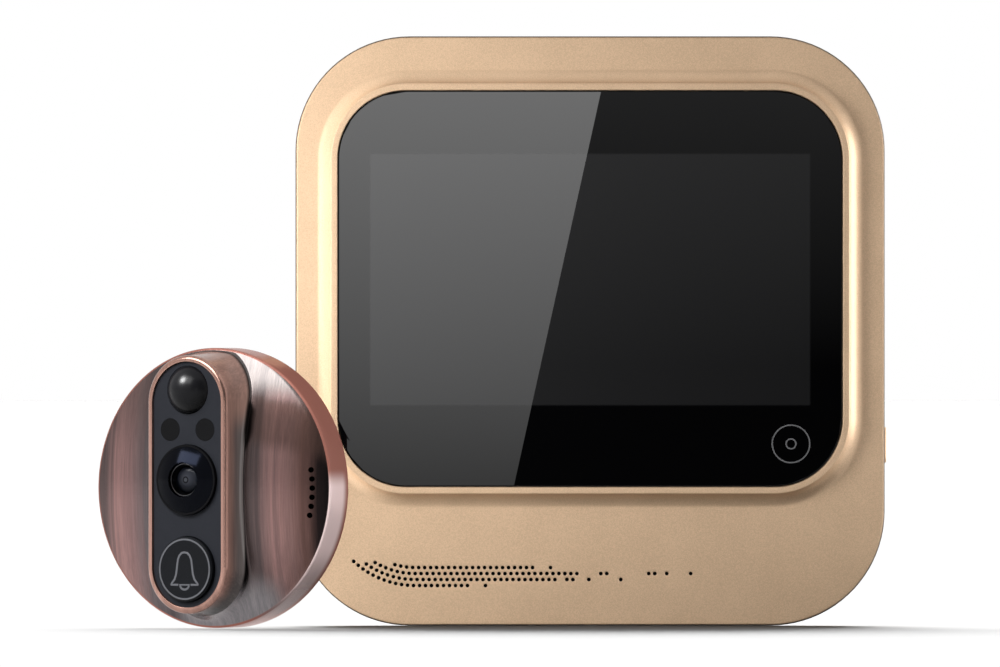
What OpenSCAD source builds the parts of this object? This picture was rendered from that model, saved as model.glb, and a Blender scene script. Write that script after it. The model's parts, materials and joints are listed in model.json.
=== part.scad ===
// Peephole door camera: the indoor monitor and the outdoor camera of one set, standing side by side.
// Millimetres, +Z up, fronts towards -Y. The origin is the middle of the monitor's foot.

/* [Monitor case] */
// Width of the monitor
monitor_w = 148.5; // [144:0.5:158]
// Height of the monitor
monitor_h = 148.5; // [146:0.5:160]
// Radius of the monitor's corners
corner_r = 28.8; // [24:0.2:31]
// Depth of the front frame, from its flat front to the seam
frame_depth = 13; // [12.5:0.5:17]
// Depth of the rear cover behind the seam
cover_depth = 5; // [4.6:0.2:8]
// Wall of the monitor case
case_wall = 2; // [1.6:0.1:2.3]
// Rounding of the case's front edge
front_edge_r = 0.6; // [0.3:0.1:1]
// Rounding of the case's back edge
back_edge_r = 2.4; // [1:0.2:3]
// How far the rear cover stands in from the frame
seam_step = 0.3; // [0.2:0.1:0.6]
// Height of the rear cover's lip inside the frame
lip_h = 2; // [1:0.2:2.6]

/* [Screen] */
// Border between the case's sides and the glass
side_border = 10.75; // [9.5:0.05:14]
// Border between the case's top and the glass
top_border = 13.75; // [10:0.05:16]
// Chin between the case's foot and the glass
chin = 35.05; // [32:0.05:40]
// Corner radius of the cover glass
glass_r = 17.1; // [14:0.1:18.5]
// Thickness of the cover glass
glass_t = 1.1; // [0.8:0.1:1.4]
// Gap between the glass and its rim
glass_gap = 0.2; // [0.1:0.05:0.4]
// How far the glass lies below the rim
glass_sink = 0.3; // [0.1:0.05:0.5]
// Height of the rim above the frame's flat front
rim_rise = 2.8; // [2.4:0.1:3.4]
// Flat width of the rim
rim_land = 1.4; // [1.2:0.1:2]
// Rounding of the rim's outer edge
rim_round = 0.4; // [0.2:0.1:0.6]
// Radius of the hollow that runs from the rim down to the flat front
cove_r = 5.2; // [4:0.1:6]
// Width of the ledge that carries the glass
ledge_w = 3; // [2.6:0.1:3.2]
// Thickness of the glass tape
tape_t = 0.2; // [0.1:0.05:0.3]
// Black border between the glass's sides and the display panel
display_side = 4.5; // [4.5:0.1:8]
// Black border above the display panel
display_top = 12.55; // [12:0.05:16]
// Black border below the display panel
display_foot = 17.15; // [17.1:0.05:20]
// Touch key: distance from the glass's right edge
home_inset = 12.9; // [11:0.1:16]
// Touch key: height above the glass's lower edge
home_rise = 10.75; // [9:0.05:11]
// Diameter of the touch key's sensor pad
home_pad_d = 11; // [8:0.5:11.5]

/* [Speaker grille] */
// Diameter of a sound hole
sound_hole_d = 0.95; // [0.7:0.05:1.1]
// Pitch of the holes along a row, and of the rows
sound_pitch = 1.51; // [1.4:0.01:1.6]
// Height of the top row above the foot
sound_z = 14.6; // [13:0.1:16]
// Where the rows start to bend, from the left side
bend_inset = 30.15; // [28:0.05:34]
// Bend radius of the top row
bend_r = 18.1; // [15:0.1:22]
// Width of the monitor's speaker
speaker_w = 46; // [36:0.5:48]
// Height of the monitor's speaker
speaker_h = 15; // [12:0.5:16]
// Thickness of the monitor's speaker
speaker_t = 6; // [4:0.5:7]

/* [Monitor inside] */
// Thickness of the chassis plate
chassis_t = 1.2; // [0.8:0.1:1.4]
// How far the chassis reaches past the glass
chassis_margin = 4.3; // [3.6:0.1:5]
// Height of the board's standoffs
standoff_h = 1.8; // [1.4:0.1:2.2]
// Height of the main board, as a share of the glass's height
board_share = 0.52; // [0.46:0.01:0.53]
// Thickness of the circuit boards
board_t = 1.2; // [0.8:0.1:1.6]
// Height of the battery, as a share of the glass's height
battery_share = 0.42; // [0.34:0.01:0.43]
// Thickness of the battery
battery_t = 5.2; // [4:0.1:5.6]

/* [Power key] */
// Length of the key
key_len = 9; // [7:0.5:11]
// Width of the key
key_w = 3.2; // [2.4:0.1:3.4]
// How far the key stands out of the case
key_proud = 0.5; // [0.5:0.05:1]
// Height of the key's centre above the foot
key_z = 45.5; // [43:0.5:48]
// Travel of the key
key_travel = 0.5; // [0.3:0.05:0.5]

/* [Door bracket] */
// Width of the bracket
bracket_w = 92; // [84:1:100]
// Height of the bracket
bracket_h = 70; // [66:1:76]
// Thickness of the bracket's steel
bracket_t = 1.2; // [1:0.1:1.5]
// Width of a hook
hook_w = 10; // [8:0.5:12]
// Height of a hook
hook_h = 6; // [5:0.1:7]
// Distance of the tie bolts from each other
bolt_pitch = 8; // [7.6:0.1:8.4]
// Bolt hole in the bracket
bolt_hole_d = 3.4; // [3.2:0.1:3.6]

/* [Camera housing] */
// Distance of the camera left of the monitor's middle
camera_x = 94.1; // [90:0.1:110]
// Distance of the camera's rim in front of the monitor's flat front
camera_gap = 50; // [50:1:70]
// Turn of the camera away from the monitor's front
camera_yaw = 33; // [20:0.5:40]
// Diameter of the camera's disc
disc_d = 70; // [69:0.5:76]
// Depth of the disc's rim
rim_depth = 8; // [7.6:0.2:10]
// Rise of the dome above the rim
dome_rise = 6.5; // [5.5:0.1:7]
// Height of the pod's land above the rim
pod_rise = 12.6; // [12:0.1:14]
// How far the pod lies above the disc's centre
pod_shift = 0.9; // [0:0.1:1.2]
// Wall of the housing
housing_wall = 2; // [1.6:0.1:2.2]
// Width of the pod's land round the panel
land_w = 1.6; // [1.4:0.1:1.8]
// Rounding of the pod's shoulder
shoulder_r = 1.2; // [0.6:0.1:1.3]
// How far the pod's flank flares out at its foot
pod_flare = 2; // [1:0.1:2.2]
// Diameter of a hole of the camera's sound port
port_hole_d = 1.4; // [1:0.1:1.6]
// Distance of the sound port from the disc's edge
port_inset = 4.6; // [4.2:0.1:6]

/* [Camera front] */
// How much shorter the black panel is than the disc
panel_margin = 8.8; // [8.4:0.1:10]
// Width of the black panel, as a share of its height
panel_share = 0.3333; // [0.32:0.0001:0.34]
// Thickness of the black panel
panel_t = 1.5; // [1.2:0.1:1.8]
// How far the panel lies below the land
panel_sink = 0.6; // [0.3:0.1:0.9]
// Diameter of the motion sensor's dome, as a share of the panel's width
motion_share = 0.588; // [0.5:0.001:0.6]
// Rise of the motion sensor's dome above the panel
motion_rise = 3.4; // [2.5:0.1:4]
// Diameter of an infrared window, as a share of the panel's width
infrared_share = 0.2745; // [0.25:0.0005:0.28]
// Diameter of the lens barrel's head, as a share of the panel's width
lens_share = 0.858; // [0.8:0.001:0.862]
// How far the lens barrel stands above the panel
lens_proud = 1; // [0.6:0.1:1.4]
// Rise of the front lens above its barrel
lens_rise = 1.7; // [1.2:0.1:2.4]
// Diameter of the bell button, as a share of the panel's width
button_share = 0.794; // [0.7:0.001:0.8]
// How far the bell button stands above the panel
button_proud = 1.4; // [1:0.1:1.8]
// Travel of the bell button
button_travel = 0.7; // [0.4:0.05:0.8]

/* [Camera back] */
// Thickness of the back plate
plate_t = 2.6; // [2.2:0.1:2.8]
// Diameter of the spigot that centres in the door's hole
spigot_d = 13.6; // [13.4:0.1:15]
// Length of the spigot
spigot_len = 6; // [5:0.5:8]
// Width of the ribbon slot
ribbon_w = 2.4; // [2:0.1:2.6]
// Length of the ribbon slot
ribbon_len = 11; // [9:0.5:11.5]
// Outer diameter of a brass insert
insert_d = 3.8; // [3.6:0.1:4]
// Bore of a brass insert
insert_bore_d = 2.5; // [2.4:0.05:2.6]
// Thickness of the foam pad
pad_t = 0.8; // [0.5:0.1:1.2]
// Thickness of the rubber seal
seal_t = 0.6; // [0.4:0.1:0.8]

/* [Hidden] */
$fn = 72;
// Cutters run this far past the faces that they cut
over = 1;
// Clearance round a piece that moves
run_gap = 0.3;
// Clearance round a piece that is set in place
seat_gap = 0.1;
// Clearance round a screw's shank
screw_gap = 0.05;

// Levels in the monitor: 0 is the frame's flat front, plus is towards the viewer
glass_top = rim_rise - glass_sink;
glass_back = glass_top - glass_t;
ledge_top = glass_back - tape_t;
wall_in = -case_wall;
chassis_back = wall_in - chassis_t;
board_front = chassis_back - standoff_h;
board_back = board_front - board_t;
seam = -frame_depth;
back = seam - cover_depth;
back_in = back + case_wall;

// Inside of the case
inner_w = monitor_w - 2 * case_wall;
inner_h = monitor_h - 2 * case_wall;
inner_r = corner_r - case_wall;

// Glass, display and touch key, in the monitor's plane; heights count from the monitor's middle
glass_w = monitor_w - 2 * side_border;
glass_h = monitor_h - top_border - chin;
glass_y = (chin - top_border) / 2;
glass_foot = glass_y - glass_h / 2;
display_w = glass_w - 2 * display_side;
display_h = glass_h - display_top - display_foot;
display_y = glass_y + (display_foot - display_top) / 2;
home_x = glass_w / 2 - home_inset;
home_y = glass_foot + home_rise;
key_y = key_z - monitor_h / 2;

// The cove that runs from the rim down to the flat front meets it at a slight angle
cove_dip = 0.1;
cove_step = 0.1;
cove_root = 0.5;

// Sound holes: holes on the bend, holes on the straight run, start of the run past the bend,
// and the loose holes after the run, counted in pitches
bend_holes = [3, 6, 8, 10];
run_holes = [21, 29, 25, 11];
run_start = [-0.6, -1.5, -1, -1.9];
loose_holes = [[3], [4, 5, 12, 13, 15, 19], [2, 3, 5.67, 11], [3]];
sound_rows = len(run_holes);
bend_x = monitor_w / 2 - bend_inset;
speaker_shift = 14.1;
speaker_x = speaker_shift - bend_x;
gasket_t = 1;
gasket_w = 2;

// Case screws sit in posts at the corners
post_d = 7;
post_root = 0.5;
post_wall_gap = 0.25;
post_inset = corner_r - (inner_r - post_d / 2 - post_wall_gap) / sqrt(2);
screw_d = 2.4;
screw_head_d = 4.6;
screw_head_h = 1.6;
screw_head_sink = 0.4;
case_screw_len = 8;

// Fixing screws of the chassis, the boards and the camera's back plate
small_screw_d = 1.6;
small_head_d = 3.4;
small_head_h = 1;
chassis_screw_x = glass_w / 2 + 1.1;
chassis_screw_share = 0.28;
chassis_screw_dy = chassis_screw_share * glass_h;
chassis_screw_len = 2.4;
standoff_d = 5;

// Main board, set against the right wall for its key and socket
board_gap = 2;
board_rise = 1;
board_narrower = 5;
board_w = glass_w - board_narrower;
board_h = board_share * glass_h;
board_right = inner_w / 2 - board_gap;
board_x = board_right - board_w / 2;
board_y = glass_foot + board_rise + board_h / 2;
board_hole_inset = 12;
board_hole_edge = 4;
board_hole_dy = board_h / 2 - board_hole_edge;
board_corner_r = 2;
battery_narrower = 43;
battery_w = glass_w - battery_narrower;
battery_h = battery_share * glass_h;
battery_y = glass_foot + glass_h - board_rise - battery_h / 2;
battery_r = 2.5;
shield_size = [26, 26, 2.2];
shield_skin = 0.3;
shield_r = 1.5;
shield_x = -0.3 * board_w;
chip_sizes = [[12, 12, 1.2], [8, 9, 1], [6, 6, 2]];
chip_spots = [[0.25, -0.25], [0.36, 0.05], [0.25, 0.15]];
antenna_size = [40, 0.3, 6];
antenna_drop = 3;
home_pad_t = 0.4;

// Power key and its switch, on the back of the board
switch_size = [4.5, 6, 3.5];
key_depth = board_back - switch_size[2] / 2;
key_gap = 0.2;
key_flange_t = 1;
key_flange_over = 1;
key_flange_in = inner_w / 2 - seat_gap - key_flange_t;
stem_size = [3, 1.8];
plunger_len = 0.5;
plunger_end = board_right - 3.5;
stem_end = plunger_end + key_travel + seat_gap;

// Charging socket
socket_size = [7.4, 8.94, 3.26];
socket_wall = 0.35;
socket_y = key_y + 18;
socket_depth = board_back - socket_size[2] / 2;
socket_mouth = monitor_w / 2 - 0.65;

// Ribbon socket of the main board, in the floor of the cable pocket
ribbon_socket_size = [16, 6, 3];
pocket_wall = 1.6;
pocket_in = board_back - ribbon_socket_size[2] - run_gap;
pocket_floor = pocket_in - pocket_wall;
pocket_w = 34;
pocket_h = 26;
pocket_r = 4;
window_gap = 0.7;

// Bracket and its recess in the rear cover
bracket_r = 8;
bracket_gap = 0.4;
recess_gap = 0.5;
recess_floor = back + bracket_t + bracket_gap;
recess_in = recess_floor + case_wall;
hook_inset = 14;
hook_x = bracket_w / 2 - hook_inset;
hook_foot = 11;
hook_head = 19;
hook_rows = [hook_foot - bracket_h / 2, bracket_h / 2 - hook_head];
hook_clear = 0.5;
hook_travel = hook_h - bracket_t;
hook_reach = recess_in + hook_clear;
lance_h = 8.5;
cable_slot_w = 2.6;
cable_slot_len = 12;

// Levels in the camera: 0 is the rim's front edge, plus is towards the viewer
disc_r = disc_d / 2;
panel_h = disc_d - panel_margin;
panel_w = panel_share * panel_h;
dome_r = (disc_r * disc_r + dome_rise * dome_rise) / (2 * dome_rise);
panel_top = pod_rise - panel_sink;
panel_back = panel_top - panel_t;
panel_seat_w = 0.5;
camera_board_drop = 7.3;
camera_board_front = panel_back - camera_board_drop;
camera_board_back = camera_board_front - board_t;
plate_back = -rim_depth;
plate_front = plate_back + plate_t;
seal_ledge = plate_front + seal_t;
seal_seat_w = 1.3;
cavity_r = disc_r - housing_wall;

// The pod is a stadium: its straight sides run this far to either side of its middle
pod_run = (panel_h - panel_w) / 2;
pod_half = panel_w / 2 + seat_gap + land_w;
pod_shoulder = pod_rise - shoulder_r;
flank_r = (pod_flare * pod_flare + pod_shoulder * pod_shoulder) / (2 * pod_flare);
pod_cavity_half = panel_w / 2 + seat_gap - panel_seat_w;
camera_board_half = panel_w / 2 + 0.2;
port_holes = 6;
port_r = disc_r - port_inset;
port_step = 4.3;
port_middle = -2;

// Posts for the back plate's screws
plate_post_d = 5.6;
plate_post_inset = 7;
plate_post_r = disc_r - plate_post_inset;
plate_post_angles = [36, 144, 216, 324];
plate_screw_len = 5;
plate_head_sink = 0.3;

// Places on the panel, counted from its upper and lower end in widths of the panel
panel_end = panel_h / 2;
motion_d = motion_share * panel_w;
infrared_d = infrared_share * panel_w;
lens_d = lens_share * panel_w;
button_d = button_share * panel_w;
motion_drop = 0.343;
infrared_drop = 0.4853;
infrared_side = 0.255;
lens_drop = 0.6127;
button_lift = 0.4657;
motion_y = pod_shift + panel_end - motion_drop * panel_w;
infrared_y = motion_y - infrared_drop * panel_w;
infrared_x = infrared_side * panel_w;
lens_y = infrared_y - lens_drop * panel_w;
button_y = pod_shift - panel_end + button_lift * panel_w;

// Lens: holder on the board, barrel through the panel
holder_size = [13, 13, 4.5];
holder_bore_d = 9;
holder_top = camera_board_front + holder_size[2];
barrel_neck_d = 8.6;
barrel_neck_len = 2.4;
barrel_top = panel_top + lens_proud;
lens_seat = barrel_top - 0.6;
lens_lip = 0.5;
funnel_floor = holder_top + 1.9;
funnel_floor_r = 4.15;
inner_lens_d = 6;
inner_lens_t = 1.6;
inner_lens_rise = 0.7;
sensor_size = [6, 6, 0.8];

// Bell button and its switch
button_gap = 0.2;
button_ear_d = button_d + 1.8;
button_ear_w = 8;
button_ear_t = 1;
button_chamfer = 0.4;
button_stem_d = 5;
bell_switch_size = [6, 6, 3.5];
bell_plunger_d = 3;
bell_plunger_h = 0.7;
bell_plunger_top = camera_board_front + bell_switch_size[2] + bell_plunger_h;

// Motion sensor and infrared lamps
motion_wall = 0.8;
motion_flange = 0.5;
motion_flange_t = 0.8;
sensor_can_d = 8.2;
sensor_can_h = 4.2;
lamp_d = 5;
lamp_flange_d = 5.6;
lamp_flange_h = 1;
lamp_h = 5;
infrared_flange = 0.5;
infrared_flange_t = 0.5;

// Sound parts and plate posts in the camera
door_speaker_d = 16;
door_speaker_h = 4;
door_speaker_inset = 15;
door_speaker_spot = [disc_r - door_speaker_inset, 2];
door_mic_d = 5;
door_mic_h = 3;
door_mic_inset = 6;
door_mic_turn = -19.3;
door_mic_r = disc_r - door_mic_inset;
door_mic_spot = [door_mic_r * cos(door_mic_turn), door_mic_r * sin(door_mic_turn)];
board_post_d = 4;
board_post_x = 6.5;
board_post_past = 1.6;
board_post_dy = pod_run + board_post_past;
pad_inner_d = 20;
pad_margin = 2;
camera_socket_size = [4.5, 12, 2.5];

// Stands the monitor up: x stays, y becomes height above the middle, z becomes distance to the viewer
module at_monitor() translate([0, -frame_depth / 2, monitor_h / 2]) rotate([90, 0, 0]) children();

// Stands the camera on its rim in front of the monitor and turns it
module at_camera() {
    translate([-camera_x, -frame_depth / 2 - camera_gap, disc_r])
        rotate([0, 0, -camera_yaw])
            rotate([90, 0, 0])
                children();
}

// Draws its children from level low to level high
module between(low, high) translate([0, 0, low]) linear_extrude(high - low) children();

module rounded_rect(w, h, r) {
    square([w - 2 * r, h], center = true);
    square([w, h - 2 * r], center = true);
    for (sx = [-1, 1], sy = [-1, 1])
        translate([sx * (w / 2 - r), sy * (h / 2 - r)]) circle(r);
}

// Upright stadium: run is the half length of its straight sides
module stadium(run, half) {
    square([2 * half, 2 * run], center = true);
    for (sy = [-1, 1]) translate([0, sy * run]) circle(half);
}

module quarter_disc(r) {
    intersection() {
        circle(r);
        square(r);
    }
}

// Sweeps a profile round a rounded rectangle; the profile's x starts at the corner's centre
module sweep_rect(w, h, r) {
    for (side = [0:3]) {
        wide = side % 2 == 0 ? w / 2 - r : h / 2 - r;
        high = side % 2 == 0 ? h / 2 - r : w / 2 - r;
        rotate([0, 0, 90 * side]) translate([wide, high, 0]) {
            rotate_extrude(angle = 90) children();
            rotate([90, 0, 0]) linear_extrude(2 * high) children();
        }
    }
}

// Sweeps a profile round an upright stadium; the profile's x starts at the stadium's middle line
module sweep_stadium(run) {
    for (side = [0, 1])
        rotate([0, 0, 180 * side]) translate([0, run, 0]) {
            rotate_extrude(angle = 180) children();
            rotate([90, 0, 0]) linear_extrude(2 * run) children();
        }
}

// Slab from level 0 upwards with a rounded top edge
module soft_slab(w, h, r, depth, edge) {
    between(0, depth - edge) rounded_rect(w, h, r);
    between(depth - edge, depth) rounded_rect(w - 2 * edge, h - 2 * edge, r - edge);
    sweep_rect(w, h, r) translate([r - edge, depth - edge]) quarter_disc(edge);
}

module at_posts() {
    for (sx = [-1, 1], sy = [-1, 1])
        translate([sx * (monitor_w / 2 - post_inset), sy * (monitor_h / 2 - post_inset), 0]) children();
}

module at_chassis_screws() {
    for (sx = [-1, 1], sy = [-1, 1])
        translate([sx * chassis_screw_x, glass_y + sy * chassis_screw_dy, 0]) children();
}

module at_board_holes() {
    for (sx = [-1, 1], sy = [-1, 1])
        translate([board_x + sx * (board_w / 2 - board_hole_inset), board_y + sy * board_hole_dy, 0])
            children();
}

module at_plate_posts() {
    for (a = plate_post_angles) rotate([0, 0, a]) translate([plate_post_r, 0, 0]) children();
}

module at_board_posts() {
    for (sx = [-1, 1], sy = [-1, 1])
        translate([sx * board_post_x, pod_shift + sy * board_post_dy, 0]) children();
}

module at_tie_bolts() for (sx = [-1, 1]) translate([sx * bolt_pitch / 2, 0, 0]) children();

// Place of a sound hole: steps along its row, counted from the first hole of the straight run
function row_radius(row) = bend_r + row * sound_pitch;
function row_path(row, s) =
    let (r = row_radius(row), turn = s < 0 ? -s / r * 180 / PI : 0)
    [max(s, 0) - bend_x - r * sin(turn), sound_z + bend_r - r * cos(turn) - monitor_h / 2];
function sound_spot(row, step) = row_path(row, run_start[row] + step * sound_pitch);
function row_steps(row) = concat(
    [for (k = [-bend_holes[row]:run_holes[row] - 1]) k],
    [for (k = loose_holes[row]) run_holes[row] - 1 + k]
);
function middle_row_y() = sound_spot(0, 5)[1] - (sound_rows - 1) * sound_pitch / 2;
// The microphone listens through the last loose hole of the second row
function microphone_spot() = sound_spot(1, run_holes[1] - 1 + loose_holes[1][5]);

module at_sound_holes() {
    for (row = [0:sound_rows - 1], step = row_steps(row)) {
        spot = sound_spot(row, step);
        translate([spot[0], spot[1], 0]) children();
    }
}

// Section of the rim's cove: rounded edge on top, then a hollow down into the flat front
module cove_section() {
    foot = rim_rise - rim_round;
    centre_z = cove_r - cove_dip;
    reach = sqrt(cove_r * cove_r - pow(centre_z - foot + cove_step, 2));
    translate([0, -cove_root]) square([rim_round, foot + cove_root]);
    translate([0, foot]) quarter_disc(rim_round);
    difference() {
        translate([0, -cove_root]) square([rim_round + reach, foot - cove_step / 2 + cove_root]);
        translate([rim_round + reach, centre_z]) circle(cove_r);
    }
}

// Raised rim round the glass
module glass_rim() {
    grow = glass_gap + rim_land;
    w = glass_w + 2 * grow;
    h = glass_h + 2 * grow;
    r = glass_r + grow;
    translate([0, glass_y, 0]) {
        between(-cove_root, rim_rise) rounded_rect(w, h, r);
        sweep_rect(w, h, r) translate([r, 0]) cove_section();
    }
}

module side_slot(y, depth, w, len) {
    translate([inner_w / 2 - over, y, depth])
        rotate([0, 90, 0])
            linear_extrude(case_wall + 2 * over)
                stadium((len - w) / 2, w / 2);
}

// Front frame: one moulding with the rim, the sound holes, the side slots and the screw posts
module front_frame() color([0.80, 0.68, 0.52]) at_monitor() {
    difference() {
        union() {
            translate([0, 0, seam]) soft_slab(monitor_w, monitor_h, corner_r, frame_depth, front_edge_r);
            glass_rim();
        }
        between(seam - over, wall_in) rounded_rect(inner_w, inner_h, inner_r);
        translate([0, glass_y, 0]) {
            between(ledge_top, rim_rise + over)
                rounded_rect(glass_w + 2 * glass_gap, glass_h + 2 * glass_gap, glass_r + glass_gap);
            between(wall_in - over, rim_rise)
                rounded_rect(glass_w - 2 * ledge_w, glass_h - 2 * ledge_w, glass_r - ledge_w);
        }
        at_sound_holes() translate([0, 0, wall_in - over])
            cylinder(d = sound_hole_d, h = case_wall + 2 * over);
        side_slot(key_y, key_depth, key_w + 2 * key_gap, key_len + 2 * key_gap);
        side_slot(socket_y, socket_depth, socket_size[2] + 2 * key_gap, socket_size[1] + 2 * key_gap);
        at_chassis_screws() between(wall_in - over, wall_in + chassis_screw_len) circle(d = small_screw_d);
    }
    at_posts() difference() {
        between(seam, wall_in + post_root) circle(d = post_d);
        between(seam - over, wall_in) circle(d = screw_d + 2 * screw_gap);
    }
}

// Cover glass with its screen and touch key behind it
module cover_glass() color([0.08, 0.08, 0.09]) at_monitor() {
    edge = min(0.3, glass_t / 3);
    translate([0, glass_y, glass_back]) soft_slab(glass_w, glass_h, glass_r, glass_t, edge);
}

module glass_tape() color([0.05, 0.05, 0.05]) at_monitor() {
    inset = 2 * seat_gap;
    translate([0, glass_y, 0]) between(ledge_top, glass_back) difference() {
        rounded_rect(glass_w - 2 * inset, glass_h - 2 * inset, glass_r - inset);
        rounded_rect(glass_w - 2 * ledge_w + 2 * inset, glass_h - 2 * ledge_w + 2 * inset,
            glass_r - ledge_w + inset);
    }
}

// The display is bonded to the glass and backed by the chassis
module display_panel() color([0.12, 0.13, 0.15]) at_monitor() {
    translate([0, display_y, 0]) between(wall_in, glass_back) rounded_rect(display_w, display_h, 1);
}

module home_key_pad() color([0.45, 0.35, 0.15]) at_monitor() {
    translate([home_x, home_y, glass_back - home_pad_t]) cylinder(d = home_pad_d, h = home_pad_t);
}

module chassis_plate() color([0.62, 0.64, 0.66]) at_monitor() {
    difference() {
        translate([0, glass_y, 0]) between(chassis_back, wall_in)
            rounded_rect(glass_w + 2 * chassis_margin, glass_h + 2 * chassis_margin,
                glass_r + chassis_margin);
        at_posts() between(chassis_back - over, wall_in + over) circle(d = post_d + 2 * recess_gap);
        translate([speaker_x, middle_row_y(), 0]) between(chassis_back - over, wall_in + over)
            square([speaker_w + 2 * recess_gap, speaker_h + 2 * recess_gap], center = true);
        at_chassis_screws() between(chassis_back - over, wall_in + over)
            circle(d = small_screw_d + 2 * screw_gap);
    }
    at_board_holes() between(board_front, chassis_back) difference() {
        circle(d = standoff_d);
        circle(d = small_screw_d + 2 * screw_gap);
    }
}

// Pan-head screw with its seat at level 0; it drives towards plus
module pan_screw(shank_d, shank_len, head_d, head_h) {
    cylinder(d = shank_d, h = shank_len);
    translate([0, 0, -head_h]) difference() {
        cylinder(d = head_d, h = head_h);
        translate([0, 0, -over]) linear_extrude(over + head_h / 2)
            for (a = [0, 90]) rotate(a) square([head_d * 0.6, head_d * 0.16], center = true);
    }
}

module chassis_screws() color([0.55, 0.55, 0.57]) at_monitor() {
    at_chassis_screws() translate([0, 0, chassis_back])
        pan_screw(small_screw_d - 2 * screw_gap, chassis_t + chassis_screw_len - seat_gap,
            small_head_d, small_head_h);
}

module main_board() color([0.10, 0.32, 0.18]) at_monitor() {
    difference() {
        translate([board_x, board_y, 0]) between(board_back, board_front)
            rounded_rect(board_w, board_h, board_corner_r);
        at_board_holes() between(board_back - over, board_front + over)
            circle(d = small_screw_d + 2 * screw_gap);
    }
}

module board_screws() color([0.55, 0.55, 0.57]) at_monitor() {
    at_board_holes() translate([0, 0, board_back])
        pan_screw(small_screw_d, board_t + standoff_h - seat_gap, small_head_d, small_head_h);
}

// Drawn tin can over the processor, with a pressed lid line
module processor_shield() color([0.75, 0.76, 0.78]) at_monitor() {
    translate([shield_x, board_y, 0]) difference() {
        between(board_back - shield_size[2], board_back)
            rounded_rect(shield_size[0], shield_size[1], shield_r);
        between(board_back - shield_size[2] + shield_skin, board_back + over) rounded_rect(
            shield_size[0] - 2 * shield_skin, shield_size[1] - 2 * shield_skin, shield_r - shield_skin
        );
    }
}

module board_chips() color([0.08, 0.08, 0.09]) at_monitor() {
    for (i = [0:len(chip_sizes) - 1])
        translate([chip_spots[i][0] * board_w, board_y + chip_spots[i][1] * board_h, 0])
            between(board_back - chip_sizes[i][2], board_back)
                square([chip_sizes[i][0], chip_sizes[i][1]], center = true);
}

module battery_pack() color([0.30, 0.42, 0.55]) at_monitor() {
    translate([0, battery_y, 0]) between(chassis_back - battery_t, chassis_back)
        rounded_rect(battery_w, battery_h, battery_r);
}

// Flat oval speaker: basket with its magnet behind, front towards the sound holes
module speaker() color([0.10, 0.10, 0.11]) at_monitor() {
    front = wall_in - gasket_t;
    magnet_t = speaker_t / 2;
    translate([speaker_x, middle_row_y(), 0]) difference() {
        union() {
            between(front - speaker_t + magnet_t, front)
                rounded_rect(speaker_w, speaker_h, speaker_h / 2 - seat_gap);
            between(front - speaker_t, front) rounded_rect(speaker_w * 0.55, speaker_h * 0.7, 2);
        }
        between(front - 0.8, front + over)
            rounded_rect(speaker_w - 2 * gasket_w, speaker_h - 2 * gasket_w,
                speaker_h / 2 - gasket_w - seat_gap);
    }
}

module speaker_gasket() color([0.15, 0.15, 0.16]) at_monitor() {
    r = speaker_h / 2 - seat_gap;
    translate([speaker_x, middle_row_y(), 0]) between(wall_in - gasket_t, wall_in) difference() {
        rounded_rect(speaker_w, speaker_h, r);
        rounded_rect(speaker_w - 2 * gasket_w, speaker_h - 2 * gasket_w, r - gasket_w);
    }
}

// Rubber boot on the frame's wall holds the microphone behind its sound hole
mic_d = 6;
mic_t = 2.6;
mic_floor_t = 0.8;
mic_boot_d = 9;

module microphone_boot() color([0.12, 0.12, 0.12]) at_monitor() {
    spot = microphone_spot();
    translate([spot[0], spot[1], 0]) difference() {
        between(wall_in - mic_floor_t - mic_t - mic_floor_t, wall_in) circle(d = mic_boot_d);
        between(wall_in - 3 * mic_t, wall_in - mic_floor_t) circle(d = mic_d + 2 * screw_gap);
        between(wall_in - 2 * mic_floor_t, wall_in + over) circle(d = 2 * sound_hole_d);
    }
}

module microphone() color([0.70, 0.70, 0.72]) at_monitor() {
    spot = microphone_spot();
    translate([spot[0], spot[1], wall_in - mic_floor_t - mic_t]) cylinder(d = mic_d, h = mic_t);
}

module antenna() color([0.55, 0.40, 0.12]) at_monitor() {
    translate([-antenna_size[0] / 2, inner_h / 2 - antenna_size[1], board_back - antenna_drop])
        cube(antenna_size);
}

// Power key: cap through the side wall, flange behind the wall, stem towards its switch
module power_key() color([0.80, 0.68, 0.52]) at_monitor() {
    cap_len = monitor_w / 2 + key_proud - key_flange_in;
    edge = 0.3;
    run = (key_len - key_w) / 2;
    translate([key_flange_in, key_y, key_depth]) rotate([0, 90, 0]) {
        between(0, cap_len - edge) stadium(run, key_w / 2);
        between(cap_len - edge, cap_len) stadium(run, key_w / 2 - edge);
        sweep_stadium(run) translate([key_w / 2 - edge, cap_len - edge]) quarter_disc(edge);
        between(0, key_flange_t) stadium(run, key_w / 2 + key_flange_over);
        between(stem_end - key_flange_in, 0) square([stem_size[1], stem_size[0]], center = true);
    }
}

module power_switch() color([0.20, 0.20, 0.21]) at_monitor() {
    body_end = plunger_end - plunger_len;
    translate([body_end - switch_size[0], key_y - switch_size[1] / 2, board_back - switch_size[2]])
        cube(switch_size);
    translate([body_end - over / 2, key_y, key_depth]) rotate([0, 90, 0])
        linear_extrude(plunger_len + over / 2) square([1.2, 2.4], center = true);
}

// Charging socket: steel shell with a tongue, mouth in the right wall
module charging_socket() color([0.72, 0.73, 0.75]) at_monitor() {
    run = (socket_size[1] - socket_size[2]) / 2;
    translate([socket_mouth - socket_size[0], socket_y, socket_depth]) rotate([0, 90, 0]) {
        difference() {
            between(0, socket_size[0]) stadium(run, socket_size[2] / 2);
            between(1, socket_size[0] + over) stadium(run, socket_size[2] / 2 - socket_wall);
        }
        between(1, socket_size[0] - 1) square([0.7, 6.6], center = true);
    }
}

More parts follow.
